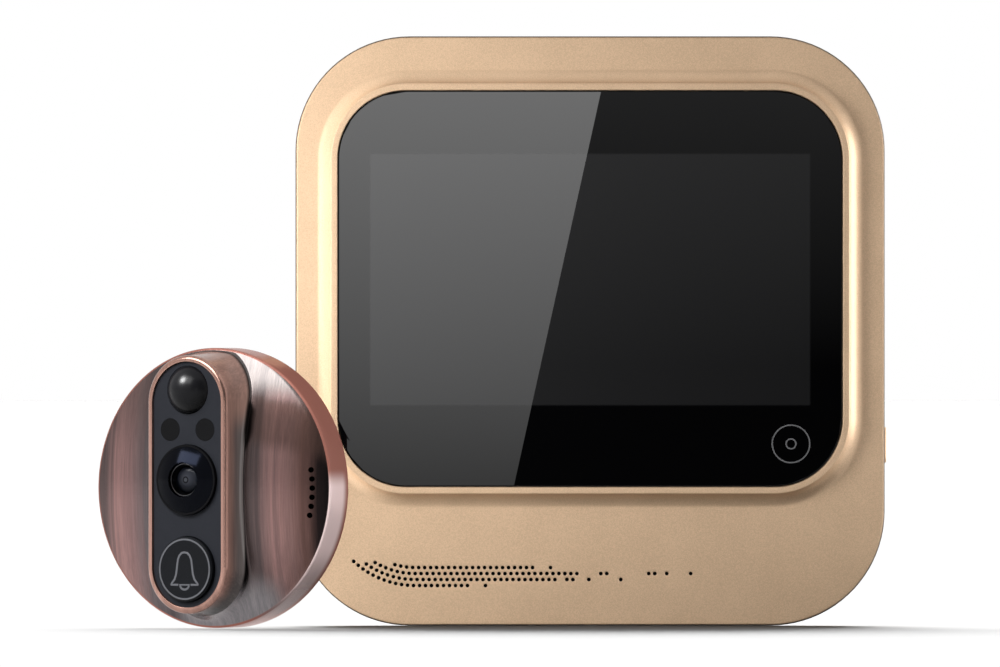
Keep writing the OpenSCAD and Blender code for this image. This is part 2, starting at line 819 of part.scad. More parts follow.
module ribbon_socket() color([0.85, 0.83, 0.76]) at_monitor() {
    size = ribbon_socket_size;
    difference() {
        between(board_back - size[2], board_back) square([size[0], size[1]], center = true);
        between(board_back - size[2] - over, board_back - 1) square([ribbon_len, 1.2], center = true);
    }
}

// Rear cover: tray with the bracket's recess, the hook slots and the cable pocket
module rear_cover() color([0.13, 0.13, 0.14]) at_monitor() {
    w = monitor_w - 2 * seam_step;
    h = monitor_h - 2 * seam_step;
    r = corner_r - seam_step;
    lip_gap = key_gap;
    recess_w = bracket_w + 2 * recess_gap;
    recess_h = bracket_h + 2 * recess_gap + hook_travel;
    head_seat = back + screw_head_h + screw_head_sink;
    difference() {
        union() {
            difference() {
                translate([0, 0, seam]) mirror([0, 0, 1]) soft_slab(w, h, r, cover_depth, back_edge_r);
                between(back_in, seam + over)
                    rounded_rect(inner_w - 2 * lip_gap - 3, inner_h - 2 * lip_gap - 3, inner_r - 2);
            }
            between(seam, seam + lip_h) difference() {
                rounded_rect(inner_w - 2 * lip_gap, inner_h - 2 * lip_gap, inner_r - lip_gap);
                rounded_rect(inner_w - 2 * lip_gap - 3, inner_h - 2 * lip_gap - 3, inner_r - 2);
                at_posts() circle(d = post_d + 2 * recess_gap);
            }
            translate([0, -hook_travel / 2, 0]) between(back_in - case_wall / 2, recess_in)
                rounded_rect(recess_w + 2 * case_wall, recess_h + 2 * case_wall, bracket_r + case_wall);
            between(back_in - case_wall / 2, pocket_in)
                rounded_rect(pocket_w + 2 * pocket_wall, pocket_h + 2 * pocket_wall, pocket_r + pocket_wall);
            at_posts() between(back_in - case_wall / 2, seam) circle(d = post_d);
        }
        translate([0, -hook_travel / 2, 0]) between(back - over, recess_floor)
            rounded_rect(recess_w, recess_h, bracket_r + recess_gap);
        between(back - over, pocket_floor) rounded_rect(pocket_w, pocket_h, pocket_r);
        between(pocket_floor - over, pocket_in + over)
            square([ribbon_socket_size[0] + 2 * window_gap, ribbon_socket_size[1] + 2 * window_gap],
                center = true);
        for (sx = [-1, 1], y = hook_rows)
            translate([sx * hook_x, y, 0]) between(recess_floor - over, recess_in + over) {
                low = -hook_travel - run_gap;
                high = bracket_t + run_gap;
                translate([-hook_w / 2 - run_gap, low]) square([hook_w + 2 * run_gap, high - low]);
            }
        at_posts() {
            between(back - over, seam + over) circle(d = screw_d + 2 * screw_gap);
            between(back - over, head_seat) circle(d = screw_head_d + 2 * key_gap);
        }
    }
}

module case_screws() color([0.25, 0.25, 0.26]) at_monitor() {
    at_posts() translate([0, 0, back + screw_head_h + screw_head_sink])
        pan_screw(screw_d, cover_depth - screw_head_h - screw_head_sink + case_screw_len,
            screw_head_d, screw_head_h);
}

// Door bracket: one steel pressing with lanced hooks that point up behind the rear cover's wall
module door_bracket() color([0.66, 0.67, 0.69]) at_monitor() {
    front = back + bracket_t;
    difference() {
        between(back, front) rounded_rect(bracket_w, bracket_h, bracket_r);
        at_tie_bolts() translate([0, 0, back - over]) cylinder(d = bolt_hole_d, h = bracket_t + 2 * over);
        between(back - over, front + over) stadium((cable_slot_len - cable_slot_w) / 2, cable_slot_w / 2);
        for (sx = [-1, 1], y = hook_rows)
            translate([sx * hook_x - hook_w / 2, y - lance_h, back - over])
                cube([hook_w, lance_h, bracket_t + 2 * over]);
    }
    for (sx = [-1, 1], y = hook_rows) translate([sx * hook_x - hook_w / 2, y, 0]) {
        translate([0, 0, front]) cube([hook_w, bracket_t, hook_reach + bracket_t - front]);
        translate([0, 0, hook_reach]) cube([hook_w, hook_h, bracket_t]);
    }
}

// Section of the pod from its middle line: land, rounded shoulder, flank that flares towards its foot
module pod_section() {
    difference() {
        square([pod_half + pod_flare, pod_shoulder]);
        translate([pod_half + flank_r, pod_shoulder]) circle(flank_r);
    }
    translate([0, pod_shoulder]) square([pod_half - shoulder_r, shoulder_r]);
    translate([pod_half - shoulder_r, pod_shoulder]) quarter_disc(shoulder_r);
}

// Dome of the disc, less a wall where it is hollowed
module dome_section(wall, reach) {
    intersection() {
        translate([0, dome_rise - dome_r]) circle(dome_r - wall);
        translate([0, plate_back - over * wall]) square([reach, rim_depth + dome_rise + over]);
    }
}

// Camera housing: a cast disc with a domed front and a raised pod for the panel, hollow from behind
module camera_housing() color([0.62, 0.43, 0.38]) at_camera() {
    difference() {
        union() {
            rotate_extrude() dome_section(0, disc_r);
            intersection() {
                translate([0, pod_shift, 0]) sweep_stadium(pod_run) pod_section();
                cylinder(r = disc_r, h = pod_rise + over);
            }
        }
        difference() {
            union() {
                rotate_extrude() dome_section(housing_wall, cavity_r - seal_seat_w);
                translate([0, 0, plate_back - over])
                    cylinder(r = cavity_r, h = seal_ledge - plate_back + over);
            }
            at_plate_posts() between(plate_front, dome_rise) circle(d = plate_post_d);
        }
        at_plate_posts() between(plate_front - over, plate_front + plate_screw_len)
            circle(d = small_screw_d + 2 * screw_gap);
        translate([0, pod_shift, 0]) {
            between(panel_back, pod_rise + over) stadium(pod_run, panel_w / 2 + seat_gap);
            between(camera_board_front - over, panel_back + over) stadium(pod_run, pod_cavity_half);
            between(seal_ledge, camera_board_front) stadium(pod_run, camera_board_half + seat_gap);
        }
        for (i = [0:port_holes - 1])
            rotate([0, 0, port_middle + (i - (port_holes - 1) / 2) * port_step])
                translate([port_r, 0, seal_ledge]) cylinder(d = port_hole_d, h = dome_rise - seal_ledge);
    }
}

// Black front panel with the openings for sensor, lamps, lens and button
module fascia_panel() color([0.17, 0.18, 0.21]) at_camera() {
    between(panel_back, panel_top) difference() {
        translate([0, pod_shift]) stadium(pod_run, panel_w / 2);
        translate([0, motion_y]) circle(d = motion_d + 2 * seat_gap);
        for (sx = [-1, 1]) translate([sx * infrared_x, infrared_y]) circle(d = infrared_d + 2 * screw_gap);
        translate([0, lens_y]) circle(d = lens_d + 2 * seat_gap);
        translate([0, button_y]) circle(d = button_d + 2 * button_gap);
    }
}

// Section of a domed cap on a straight skirt: rim radius, rise, level of the rim, length of the skirt
module cap_section(rim_r, rise, level, skirt) {
    cap_r = (rim_r * rim_r + rise * rise) / (2 * rise);
    translate([0, level]) intersection() {
        translate([0, rise - cap_r]) circle(cap_r);
        translate([0, -skirt]) square([rim_r, skirt + rise + over]);
    }
}

// Dome over the motion sensor, with a flange behind the panel
module motion_dome() color([0.04, 0.04, 0.05]) at_camera() translate([0, motion_y, 0]) {
    rim_r = motion_d / 2;
    inside_r = rim_r - motion_wall;
    skirt = panel_t + motion_flange_t;
    rotate_extrude() difference() {
        union() {
            cap_section(rim_r, motion_rise, panel_top, skirt);
            translate([0, panel_top - skirt]) square([rim_r + motion_flange, motion_flange_t]);
        }
        cap_section(inside_r, motion_rise - motion_wall, panel_top, skirt + over);
    }
}

module motion_sensor() color([0.70, 0.70, 0.68]) at_camera() translate([0, motion_y, camera_board_front]) {
    cylinder(d = sensor_can_d + 1, h = 0.5);
    difference() {
        cylinder(d = sensor_can_d, h = sensor_can_h);
        translate([0, 0, sensor_can_h - 0.3]) linear_extrude(over) square([4, 3], center = true);
    }
}

module infrared_windows() color([0.10, 0.10, 0.11]) at_camera() {
    low = panel_back - infrared_flange_t;
    for (sx = [-1, 1]) translate([sx * infrared_x, infrared_y, low]) {
        cylinder(d = infrared_d, h = panel_top - low);
        cylinder(d = infrared_d + 2 * infrared_flange, h = infrared_flange_t);
    }
}

module infrared_lamps() color([0.55, 0.55, 0.62]) at_camera() {
    straight = lamp_h - lamp_d / 2;
    for (sx = [-1, 1]) translate([sx * infrared_x, infrared_y, camera_board_front]) rotate_extrude() {
        square([lamp_flange_d / 2, lamp_flange_h]);
        square([lamp_d / 2, straight]);
        translate([0, straight]) quarter_disc(lamp_d / 2);
    }
}

// Lens barrel: head in the panel, black funnel inside, neck in the holder
module lens_barrel() color([0.03, 0.03, 0.04]) at_camera() translate([0, lens_y, 0]) {
    head_r = lens_d / 2;
    lens_r = head_r - lens_lip;
    bore_r = inner_lens_d / 2 + screw_gap;
    stop_r = bore_r - lens_lip;
    neck_low = holder_top - barrel_neck_len;
    lens_stop = funnel_floor - inner_lens_t;
    rotate_extrude() polygon([
        [stop_r, neck_low],
        [barrel_neck_d / 2, neck_low],
        [barrel_neck_d / 2, holder_top],
        [head_r, holder_top],
        [head_r, barrel_top],
        [lens_r, barrel_top],
        [lens_r, lens_seat],
        [lens_r - lens_lip, lens_seat],
        [funnel_floor_r, funnel_floor],
        [bore_r, funnel_floor],
        [bore_r, lens_stop],
        [stop_r, lens_stop]
    ]);
}

// Wide-angle front lens: domed outside, hollow inside
module front_lens() color([0.20, 0.22, 0.28, 0.5]) at_camera() translate([0, lens_y, 0]) {
    lens_r = lens_d / 2 - lens_lip - screw_gap;
    rotate_extrude() difference() {
        cap_section(lens_r, lens_rise, barrel_top, barrel_top - lens_seat);
        cap_section(lens_r - 2 * lens_lip, lens_rise, lens_seat, over);
    }
}

module inner_lens() color([0.30, 0.34, 0.45, 0.6]) at_camera() translate([0, lens_y, 0]) {
    rotate_extrude() cap_section(inner_lens_d / 2, inner_lens_rise, funnel_floor, inner_lens_t);
}

module lens_holder() color([0.09, 0.09, 0.10]) at_camera() translate([0, lens_y, 0]) {
    between(camera_board_front, holder_top) difference() {
        rounded_rect(holder_size[0], holder_size[1], 1);
        circle(d = holder_bore_d);
    }
}

module image_sensor() color([0.20, 0.16, 0.30]) at_camera() {
    translate([-sensor_size[0] / 2, lens_y - sensor_size[1] / 2, camera_board_front]) cube(sensor_size);
}

// Bell button: cap through the panel, ears behind it, stem towards its switch
module bell_button() color([0.10, 0.11, 0.13]) at_camera() translate([0, button_y, 0]) {
    top = panel_top + button_proud;
    ear_top = panel_back - seat_gap;
    stem_low = bell_plunger_top + button_travel + seat_gap;
    rim_r = button_d / 2;
    rotate_extrude() polygon([
        [0, stem_low],
        [button_stem_d / 2, stem_low],
        [button_stem_d / 2, ear_top - button_ear_t],
        [rim_r, ear_top - button_ear_t],
        [rim_r, top - button_chamfer],
        [rim_r - button_chamfer, top],
        [0, top]
    ]);
    between(ear_top - button_ear_t, ear_top) intersection() {
        circle(d = button_ear_d);
        square([button_ear_d, button_ear_w], center = true);
    }
}

module bell_switch() color([0.16, 0.16, 0.17]) at_camera() translate([0, button_y, camera_board_front]) {
    size = bell_switch_size;
    translate([-size[0] / 2, -size[1] / 2, 0]) cube(size);
    cylinder(d = bell_plunger_d, h = size[2] + bell_plunger_h);
}

module camera_board() color([0.10, 0.32, 0.18]) at_camera() {
    translate([0, pod_shift, 0]) between(camera_board_back, camera_board_front)
        stadium(pod_run, camera_board_half);
}

module camera_ribbon_socket() color([0.85, 0.83, 0.76]) at_camera() {
    size = camera_socket_size;
    difference() {
        between(camera_board_back - size[2], camera_board_back) square([size[0], size[1]], center = true);
        between(camera_board_back - size[2] - over, camera_board_back - 1)
            square([1.2, size[1] - 1.5], center = true);
    }
}

module door_speaker() color([0.12, 0.12, 0.13]) at_camera() {
    r = door_speaker_d / 2;
    translate([door_speaker_spot[0], door_speaker_spot[1], plate_front]) difference() {
        cylinder(r = r, h = door_speaker_h);
        translate([0, 0, door_speaker_h - 0.6]) cylinder(r = r - 1.2, h = over);
    }
}

module door_microphone() color([0.70, 0.70, 0.72]) at_camera() {
    translate([door_mic_spot[0], door_mic_spot[1], plate_front]) cylinder(d = door_mic_d, h = door_mic_h);
}

// Back plate: disc with the spigot, the ribbon slot, the insert bores and the posts that press the board home
module back_plate() color([0.14, 0.14, 0.15]) at_camera() {
    spigot_low = plate_back - spigot_len;
    difference() {
        union() {
            between(plate_back, plate_front) circle(r = cavity_r - seat_gap);
            translate([0, 0, spigot_low]) cylinder(d = spigot_d, h = spigot_len);
        }
        between(spigot_low - over, plate_front + over) stadium((ribbon_len - ribbon_w) / 2, ribbon_w / 2);
        at_tie_bolts() translate([0, 0, spigot_low - over]) cylinder(d = insert_d, h = spigot_len + over);
        at_plate_posts() {
            between(plate_back - over, plate_front + over) circle(d = small_screw_d + 2 * screw_gap);
            between(plate_back - over, plate_back + small_head_h + plate_head_sink)
                circle(d = small_head_d + 2 * seat_gap);
        }
    }
    at_board_posts() between(plate_front, camera_board_back) circle(d = board_post_d);
}

module back_seal() color([0.08, 0.08, 0.08]) at_camera() {
    between(plate_front, seal_ledge) difference() {
        circle(r = cavity_r - seat_gap);
        circle(r = cavity_r - seal_seat_w);
    }
}

module threaded_inserts() color([0.80, 0.65, 0.30]) at_camera() {
    at_tie_bolts() translate([0, 0, plate_back - spigot_len]) difference() {
        cylinder(d = insert_d, h = spigot_len);
        translate([0, 0, -over]) cylinder(d = insert_bore_d, h = spigot_len + 2 * over);
    }
}

module plate_screws() color([0.55, 0.55, 0.57]) at_camera() {
    seat = plate_back + small_head_h + plate_head_sink;
    at_plate_posts() translate([0, 0, seat])
        pan_screw(small_screw_d, plate_front - seat + plate_screw_len - seat_gap, small_head_d, small_head_h);
}

// Foam ring that sticks the camera to the door
module foam_pad() color([0.18, 0.18, 0.18]) at_camera() {
    between(plate_back - pad_t, plate_back) difference() {
        circle(r = cavity_r - pad_margin);
        circle(d = pad_inner_d);
    }
}

front_frame();
rear_cover();
cover_glass();
glass_tape();
display_panel();
home_key_pad();
chassis_plate();
chassis_screws();
main_board();
board_screws();
processor_shield();
board_chips();
battery_pack();
speaker();
speaker_gasket();
microphone();
microphone_boot();
antenna();
power_key();
power_switch();
charging_socket();
ribbon_socket();
door_bracket();
case_screws();
camera_housing();
fascia_panel();
motion_dome();
motion_sensor();
infrared_windows();
infrared_lamps();
lens_barrel();
front_lens();
inner_lens();
lens_holder();
image_sensor();
bell_button();
bell_switch();
camera_board();
camera_ribbon_socket();
door_speaker();
door_microphone();
back_plate();
back_seal();
threaded_inserts();
plate_screws();
foam_pad();
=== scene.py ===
import json
import math

import bpy
from mathutils import Matrix, Vector

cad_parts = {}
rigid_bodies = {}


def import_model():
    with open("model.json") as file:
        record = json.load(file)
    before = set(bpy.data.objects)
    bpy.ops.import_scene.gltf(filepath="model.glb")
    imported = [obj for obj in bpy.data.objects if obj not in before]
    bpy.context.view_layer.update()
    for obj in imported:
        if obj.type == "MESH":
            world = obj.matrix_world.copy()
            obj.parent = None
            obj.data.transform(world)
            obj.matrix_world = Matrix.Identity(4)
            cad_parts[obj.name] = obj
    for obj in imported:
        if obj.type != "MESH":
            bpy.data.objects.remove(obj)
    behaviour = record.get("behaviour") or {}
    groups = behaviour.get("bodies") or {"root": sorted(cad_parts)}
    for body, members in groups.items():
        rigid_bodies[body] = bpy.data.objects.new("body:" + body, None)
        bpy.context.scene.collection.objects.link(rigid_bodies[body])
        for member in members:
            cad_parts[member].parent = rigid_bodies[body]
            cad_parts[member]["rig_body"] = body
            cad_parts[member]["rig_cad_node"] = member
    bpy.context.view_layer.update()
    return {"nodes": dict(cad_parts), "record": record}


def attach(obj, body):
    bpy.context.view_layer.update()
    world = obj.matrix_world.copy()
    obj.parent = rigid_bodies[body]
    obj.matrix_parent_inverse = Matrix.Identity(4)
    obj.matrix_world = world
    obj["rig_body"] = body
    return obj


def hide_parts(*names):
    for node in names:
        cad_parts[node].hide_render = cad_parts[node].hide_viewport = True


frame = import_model()
MM = 0.001


# Front frame of the monitor: a shallow square moulding with a raised rim round the screen.
# Cast aluminium under a satin champagne lacquer with a fine metallic grain.
# Four posts behind its corners take the case screws.
class Wire:
    """A socket of a finish, with the sums that its pattern needs."""

    def __init__(self, tree, socket=None):
        self.tree = tree
        self.socket = socket

    def add(self, kind, settings=None, inputs=None, out=0):
        made = self.tree.nodes.new(kind)
        for key, value in (settings or {}).items():
            if key == "stops":
                ramp = made.color_ramp
                ramp.elements[0].position, ramp.elements[1].position = value[0][0], value[-1][0]
                for place, _ in value[1:-1]:
                    ramp.elements.new(place)
                for element, (_, colour) in zip(ramp.elements, value):
                    element.color = (*colour, 1)
            else:
                setattr(made, key, value)
        for key, value in (inputs or {}).items():
            if isinstance(value, Wire):
                self.tree.links.new(value.socket, made.inputs[key])
            else:
                made.inputs[key].default_value = value
        return Wire(self.tree, made.outputs[out])

    def sum(self, operation, *others):
        return self.add("ShaderNodeMath", {"operation": operation}, dict(enumerate((self, *others))))

    def __add__(self, other):
        return self.sum("ADD", other)

    def __sub__(self, other):
        return self.sum("SUBTRACT", other)

    def __rsub__(self, other):
        return self.add("ShaderNodeMath", {"operation": "SUBTRACT"}, {0: other, 1: self})

    def __mul__(self, other):
        return self.sum("MULTIPLY", other)

    def __truediv__(self, other):
        return self.sum("DIVIDE", other)

    __radd__, __rmul__ = __add__, __mul__

    def size(self):
        return self.sum("ABSOLUTE")

    def ramp(self, low, high):
        """0 below the first value, 1 above the second, smooth between."""
        return self.add("ShaderNodeMapRange", {"interpolation_type": "SMOOTHSTEP"},
                        {"Value": self, "From Min": low, "From Max": high})

    def tones(self, stops):
        """Colour from a row of (place, colour) stops, with this value as the place."""
        return self.add("ShaderNodeValToRGB", {"stops": stops}, {"Fac": self})

    def mix(self, first, second):
        """Colour between two, with this value as the share of the second."""
        first, second = [c if isinstance(c, Wire) else (*c, 1) for c in (first, second)]
        return self.add("ShaderNodeMix", {"data_type": "RGBA"}, {0: self, 6: first, 7: second}, out=2)

    def grain(self, step, detail=2.0, rough=0.5):
        """Noise on a place, with the size of its grain in the place's own unit."""
        return self.add("ShaderNodeTexNoise", {},
                        {"Vector": self, "Scale": 1 / step, "Detail": detail, "Roughness": rough})

    def scaled(self, factors):
        return self.add("ShaderNodeVectorMath", {"operation": "MULTIPLY"}, {0: self, 1: factors})

    def axes(self):
        made = self.add("ShaderNodeSeparateXYZ", {}, {0: self}).socket.node
        return [Wire(self.tree, out) for out in made.outputs]

    def bump(self, depth, base=None):
        """Relief from a height of 0 to 1 that is the given depth in metres."""
        inputs = {"Height": self, "Distance": depth}
        if base is not None:
            inputs["Normal"] = base
        return self.add("ShaderNodeBump", {}, inputs)


def new_finish(name, constants):
    """A material with its even values set, its shader and the place on the object."""
    made = bpy.data.materials.new(name)
    made.use_nodes = True
    shader = made.node_tree.nodes["Principled BSDF"]
    for key, value in constants.items():
        shader.inputs[key].default_value = value
    return made, shader, Wire(made.node_tree).add("ShaderNodeTexCoord", out="Object")


def feed(shader, wires):
    for key, wire in wires.items():
        wire.tree.links.new(wire.socket, shader.inputs[key])


def select_only(piece):
    bpy.ops.object.select_all(action="DESELECT")
    piece.select_set(True)
    bpy.context.view_layer.objects.active = piece


BODY_OF = {node: body for body, nodes in frame["record"]["behaviour"]["bodies"].items() for node in nodes}
SLOT_OF = {entry["node"]: entry["material_slot"] for entry in frame["record"]["subparts"]}
CREASE = 32
SOLID_WELD, TURN_WELD = 2e-6, 1e-6


def stand_for(piece, *nodes):
    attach(piece, BODY_OF[nodes[0]])
    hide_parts(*nodes)


def joined_copy(node, name, finish):
    """A copy of a solid with its loose triangles joined, so that its curves shade as curves."""
    source = frame["nodes"][node]
    piece = source.copy()
    piece.data = source.data.copy()
    piece.name = name
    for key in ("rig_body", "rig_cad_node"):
        if key in piece:
            del piece[key]
    bpy.context.scene.collection.objects.link(piece)
    select_only(piece)
    bpy.ops.mesh.customdata_custom_splitnormals_clear()
    bpy.ops.object.mode_set(mode="EDIT")
    bpy.ops.mesh.select_all(action="SELECT")
    bpy.ops.mesh.remove_doubles(threshold=SOLID_WELD)
    bpy.ops.object.mode_set(mode="OBJECT")
    bpy.ops.object.shade_smooth_by_angle(angle=math.radians(CREASE))
    even = piece.modifiers.new("even", "WEIGHTED_NORMAL")
    even.mode, even.weight, even.keep_sharp = "FACE_AREA_WITH_ANGLE", 100, True
    bpy.ops.object.modifier_apply(modifier=even.name)
    piece.data.materials.clear()
    piece.data.materials.append(finish)
    stand_for(piece, node)


FRAME_HALF, CORNER_R, EDGE_R = 74.25 * MM, 28.8 * MM, 0.6 * MM
FRAME_FRONT = 6.5 * MM
GOLD_DARK, GOLD_LIGHT = (0.600, 0.419, 0.268), (0.743, 0.522, 0.341)
EDGE_SHADE_LINE, HOLE_WALL_SHADE = (0.075, 0.052, 0.034), (0.006, 0.004, 0.003)


def champagne_lacquer():
    """Flecked gold with a painted shade line round the edge of the front and painted shade on the walls of the sound
    holes.
    """
    made, shader, place = new_finish("champagne_lacquer", {"Metallic": 0.45})
    fleck = place.grain(0.00022, 1.0)
    cloud = place.grain(0.012, 3.0)
    gold = (fleck * 0.75 + cloud * 0.25).ramp(0.3, 0.7).mix(GOLD_DARK, GOLD_LIGHT)
    across, deep, up = place.axes()
    straight = FRAME_HALF - CORNER_R
    over_x = across.size() - straight
    over_z = (up - FRAME_HALF).size() - straight
    round_x, round_z = over_x.sum("MAXIMUM", 0.0), over_z.sum("MAXIMUM", 0.0)
    inward = (CORNER_R - (round_x * round_x + round_z * round_z).sum("SQRT")
              - over_x.sum("MAXIMUM", over_z).sum("MINIMUM", 0.0))
    # Painted shade: a thin dark line on the rounded edge of the front.
    at_front = (0 - deep).ramp(FRAME_FRONT - 1.3 * EDGE_R, FRAME_FRONT - EDGE_R)
    edge = inward.ramp(0.42 * MM, 0.2 * MM) * at_front
    # Painted shade: the walls of the sound holes behind the front face near black.
    sunk_shade = inward.ramp(2 * MM, 3 * MM) * deep.ramp(0.03 * MM - FRAME_FRONT, 0.10 * MM - FRAME_FRONT)
    soft = place.add("ShaderNodeBevel", {"samples": 6}, {"Radius": EDGE_R})
    feed(shader, {
        "Base Color": sunk_shade.mix(edge.mix(gold, EDGE_SHADE_LINE), HOLE_WALL_SHADE),
        "Roughness": 0.36 + fleck * 0.12,
        "Normal": place.grain(0.0003).bump(0.000006, soft),
    })
    return made


champagne = champagne_lacquer()
joined_copy("front_frame", "front_shell", champagne)


# Cover glass: a rounded sheet let into the rim, printed black from behind.
# The lit area of the display shows through the print as a slightly paler field.
# It is held by a frame of foam tape on the ledge of the front frame.
LIT_W, LIT_H, LIT_Z, LIT_EDGE = 110.8 * MM, 63.3 * MM, 87.2 * MM, 0.35 * MM
PRINT_BLACK, LIT_BLACK = (0.0008, 0.0008, 0.001), (0.0115, 0.0115, 0.012)


def printed_glass():
    made, shader, place = new_finish("printed_glass", {"Specular IOR Level": 0.25, "IOR": 1.5})
    across, _, up = place.axes()
    inside = (across.size().ramp(LIT_W / 2 + LIT_EDGE, LIT_W / 2 - LIT_EDGE)
              * (up - LIT_Z).size().ramp(LIT_H / 2 + LIT_EDGE, LIT_H / 2 - LIT_EDGE))
    feed(shader, {
        "Base Color": inside.mix(PRINT_BLACK, LIT_BLACK),
        "Roughness": place.grain(0.03) * 0.006,
    })
    return made


joined_copy("cover_glass", "screen", printed_glass())


# Touch mark on the glass: two rings of grey ink over the sensor pad of the home key.
# Screen printed, so it stands only hundredths of a millimetre proud of the glass.
MONITOR_PLACE = Matrix.Translation((0, -FRAME_FRONT, FRAME_HALF)) @ Matrix.Rotation(math.radians(90), 4, "X")
TURN_STEPS = 96


def turned(name, profile, loop=False):
    """A profile of (radius, height) points in millimetres, spun round the upright axis."""
    bpy.ops.object.select_all(action="DESELECT")
    bpy.ops.mesh.primitive_plane_add(size=MM)
    piece = bpy.context.object
    piece.name = piece.data.name = name
    bpy.ops.object.mode_set(mode="EDIT")
    bpy.ops.mesh.select_all(action="SELECT")
    bpy.ops.mesh.merge(type="CENTER")
    bpy.ops.transform.translate(value=(profile[0][0] * MM, 0, profile[0][1] * MM))
    points = list(profile) + ([profile[0]] if loop else [])
    for (r0, z0), (r1, z1) in zip(points, points[1:]):
        bpy.ops.mesh.extrude_vertices_move(
            TRANSFORM_OT_translate={"value": ((r1 - r0) * MM, 0, (z1 - z0) * MM)})
    bpy.ops.mesh.select_all(action="SELECT")
    bpy.ops.mesh.remove_doubles(threshold=TURN_WELD)
    bpy.ops.mesh.select_all(action="SELECT")
    bpy.ops.mesh.spin(steps=TURN_STEPS, angle=math.tau, center=(0, 0, 0), axis=(0, 0, 1))
    bpy.ops.mesh.select_all(action="SELECT")
    bpy.ops.mesh.remove_doubles(threshold=TURN_WELD)
    bpy.ops.mesh.normals_make_consistent(inside=False)
    bpy.ops.object.mode_set(mode="OBJECT")
    return piece


def flat_ring(name, inner, outer, low, high):
    return turned(name, [(inner, low), (outer, low), (outer, high), (inner, high)], loop=True)


def settle(piece, place, finish, crease=CREASE):
    """Puts a finished shape into its place on the object and leaves its origin at the object's."""
    piece.matrix_world = place @ piece.matrix_world
    select_only(piece)
    bpy.ops.object.transform_apply(location=True, rotation=True, scale=True)
    bpy.ops.object.shade_smooth_by_angle(angle=math.radians(crease))
    piece.data.materials.clear()
    piece.data.materials.append(finish)


def grey_ink():
    made, shader, place = new_finish("grey_ink", {"Roughness": 0.5})
    feed(shader, {"Base Color": place.grain(0.0002).ramp(0.3, 0.7).mix((0.10, 0.10, 0.105), (0.15, 0.15, 0.155))})
    return made


ink = grey_ink()
HOME_X, HOME_Y, GLASS_TOP = 50.6, -28.45, 2.5
INK_HALF_WIDTH, INK_HALF_DEPTH = 0.17, 0.02
home_place = MONITOR_PLACE @ Matrix.Translation((HOME_X * MM, HOME_Y * MM, GLASS_TOP * MM))
for name, ring_r in (("home_ring_large", 4.72), ("home_ring_small", 1.24)):
    ring = flat_ring(name, ring_r - INK_HALF_WIDTH, ring_r + INK_HALF_WIDTH, -INK_HALF_DEPTH, INK_HALF_DEPTH)
    settle(ring, home_place, ink)
    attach(ring, "set")


# Power key and charging socket in the right side of the monitor.
# The key is a lacquered cap on a short stem, the socket a folded steel shell with a tongue.
joined_copy("power_key", "power_cap", champagne)


def grained(name, constants, dark, light, step, depth, rough):
    """A moulded, cast or plated surface: two tones, a grain of one size and its relief."""
    made, shader, place = new_finish(name, constants)
    speck = place.grain(step, 3.0)
    cloud = place.grain(step * 30)
    feed(shader, {
        "Base Color": (speck * 0.6 + cloud * 0.4).ramp(0.32, 0.68).mix(dark, light),
        "Roughness": rough[0] + speck * (rough[1] - rough[0]),
        "Normal": speck.bump(depth),
    })
    return made


zinc = grained("zinc_plate", {"Metallic": 1.0}, (0.42, 0.43, 0.45), (0.56, 0.57, 0.58),
               0.0009, 0.000004, (0.28, 0.42))
joined_copy("charging_socket", "charging_shell", zinc)


# Rear cover: a black moulding with a spark-eroded texture, a recess for the door bracket,
# a pocket for the spare cable and four sunk screws.
# The bracket is a zinc-plated sheet that hangs in the recess by four hooks.
black_mould = grained("textured_mould", {}, (0.017, 0.017, 0.018), (0.026, 0.026, 0.028),
                      0.0004, 0.00003, (0.42, 0.60))
joined_copy("rear_cover", "rear_shell", black_mould)
joined_copy("case_screws", "case_screw_set", zinc)
joined_copy("door_bracket", "door_hanger", zinc)
ivory = grained("ivory_nylon", {}, (0.60, 0.57, 0.48), (0.70, 0.67, 0.58), 0.0008, 0.00001, (0.35, 0.5))
joined_copy("ribbon_socket", "ribbon_inlet", ivory)


# Camera housing: a cast disc with a shallow dome and a raised pod, plated in red copper.
# The dome is brushed from top to bottom and the turned rim is polished.
# Its back is open for the circuit board and closed by the plate.
CAMERA_PLACE = (Matrix.Translation((-94.1 * MM, -56.5 * MM, 35 * MM))
                @ Matrix.Rotation(math.radians(-33), 4, "Z") @ Matrix.Rotation(math.radians(90), 4, "X"))
DISC_R, DOME_RISE, DOME_R = 35.0, 6.5, 97.48
POD_RISE, POD_SHIFT, POD_RUN, POD_HALF = 12.6, 0.9, 20.4, 11.9
SHOULDER_R, FLANK_R = 1.2, 33.49
PANEL_HALF, POCKET_FLOOR, POCKET_INNER = 10.3, 10.5, 9.8
SHOULDER_Z = POD_RISE - SHOULDER_R
RIM_EDGE, FOOT_LIMIT = 0.45, 34.2
FOOT_LIFT, LOW_END_LIFT = 0.45, 2.3
BACK_Z, BACK_EDGE, CAVITY_R, CAVITY_EDGE = -8.0, 0.3, 33.0, 0.2
LEDGE_Z, LEDGE_W, SKIN = -4.9, 1.3, 2.2
SIDE_CUTS, END_CUTS = 72, 64
SHOULDER_STEPS, FLANK_STEPS, FILLET_STEPS, DOME_STEPS, RIM_STEPS = 8, 8, 8, 12, 6
HALVINGS = 40


def dome_height(r):
    return DOME_RISE - DOME_R + math.sqrt(max(DOME_R * DOME_R - r * r, 0))


def flank_reach(z):
    return FLANK_R - math.sqrt(FLANK_R ** 2 - (SHOULDER_Z - z) ** 2)


def reach_to_circle(cy, nx, ny, r):
    along = cy * ny
    return -along + math.sqrt(along * along - cy * cy + r * r)


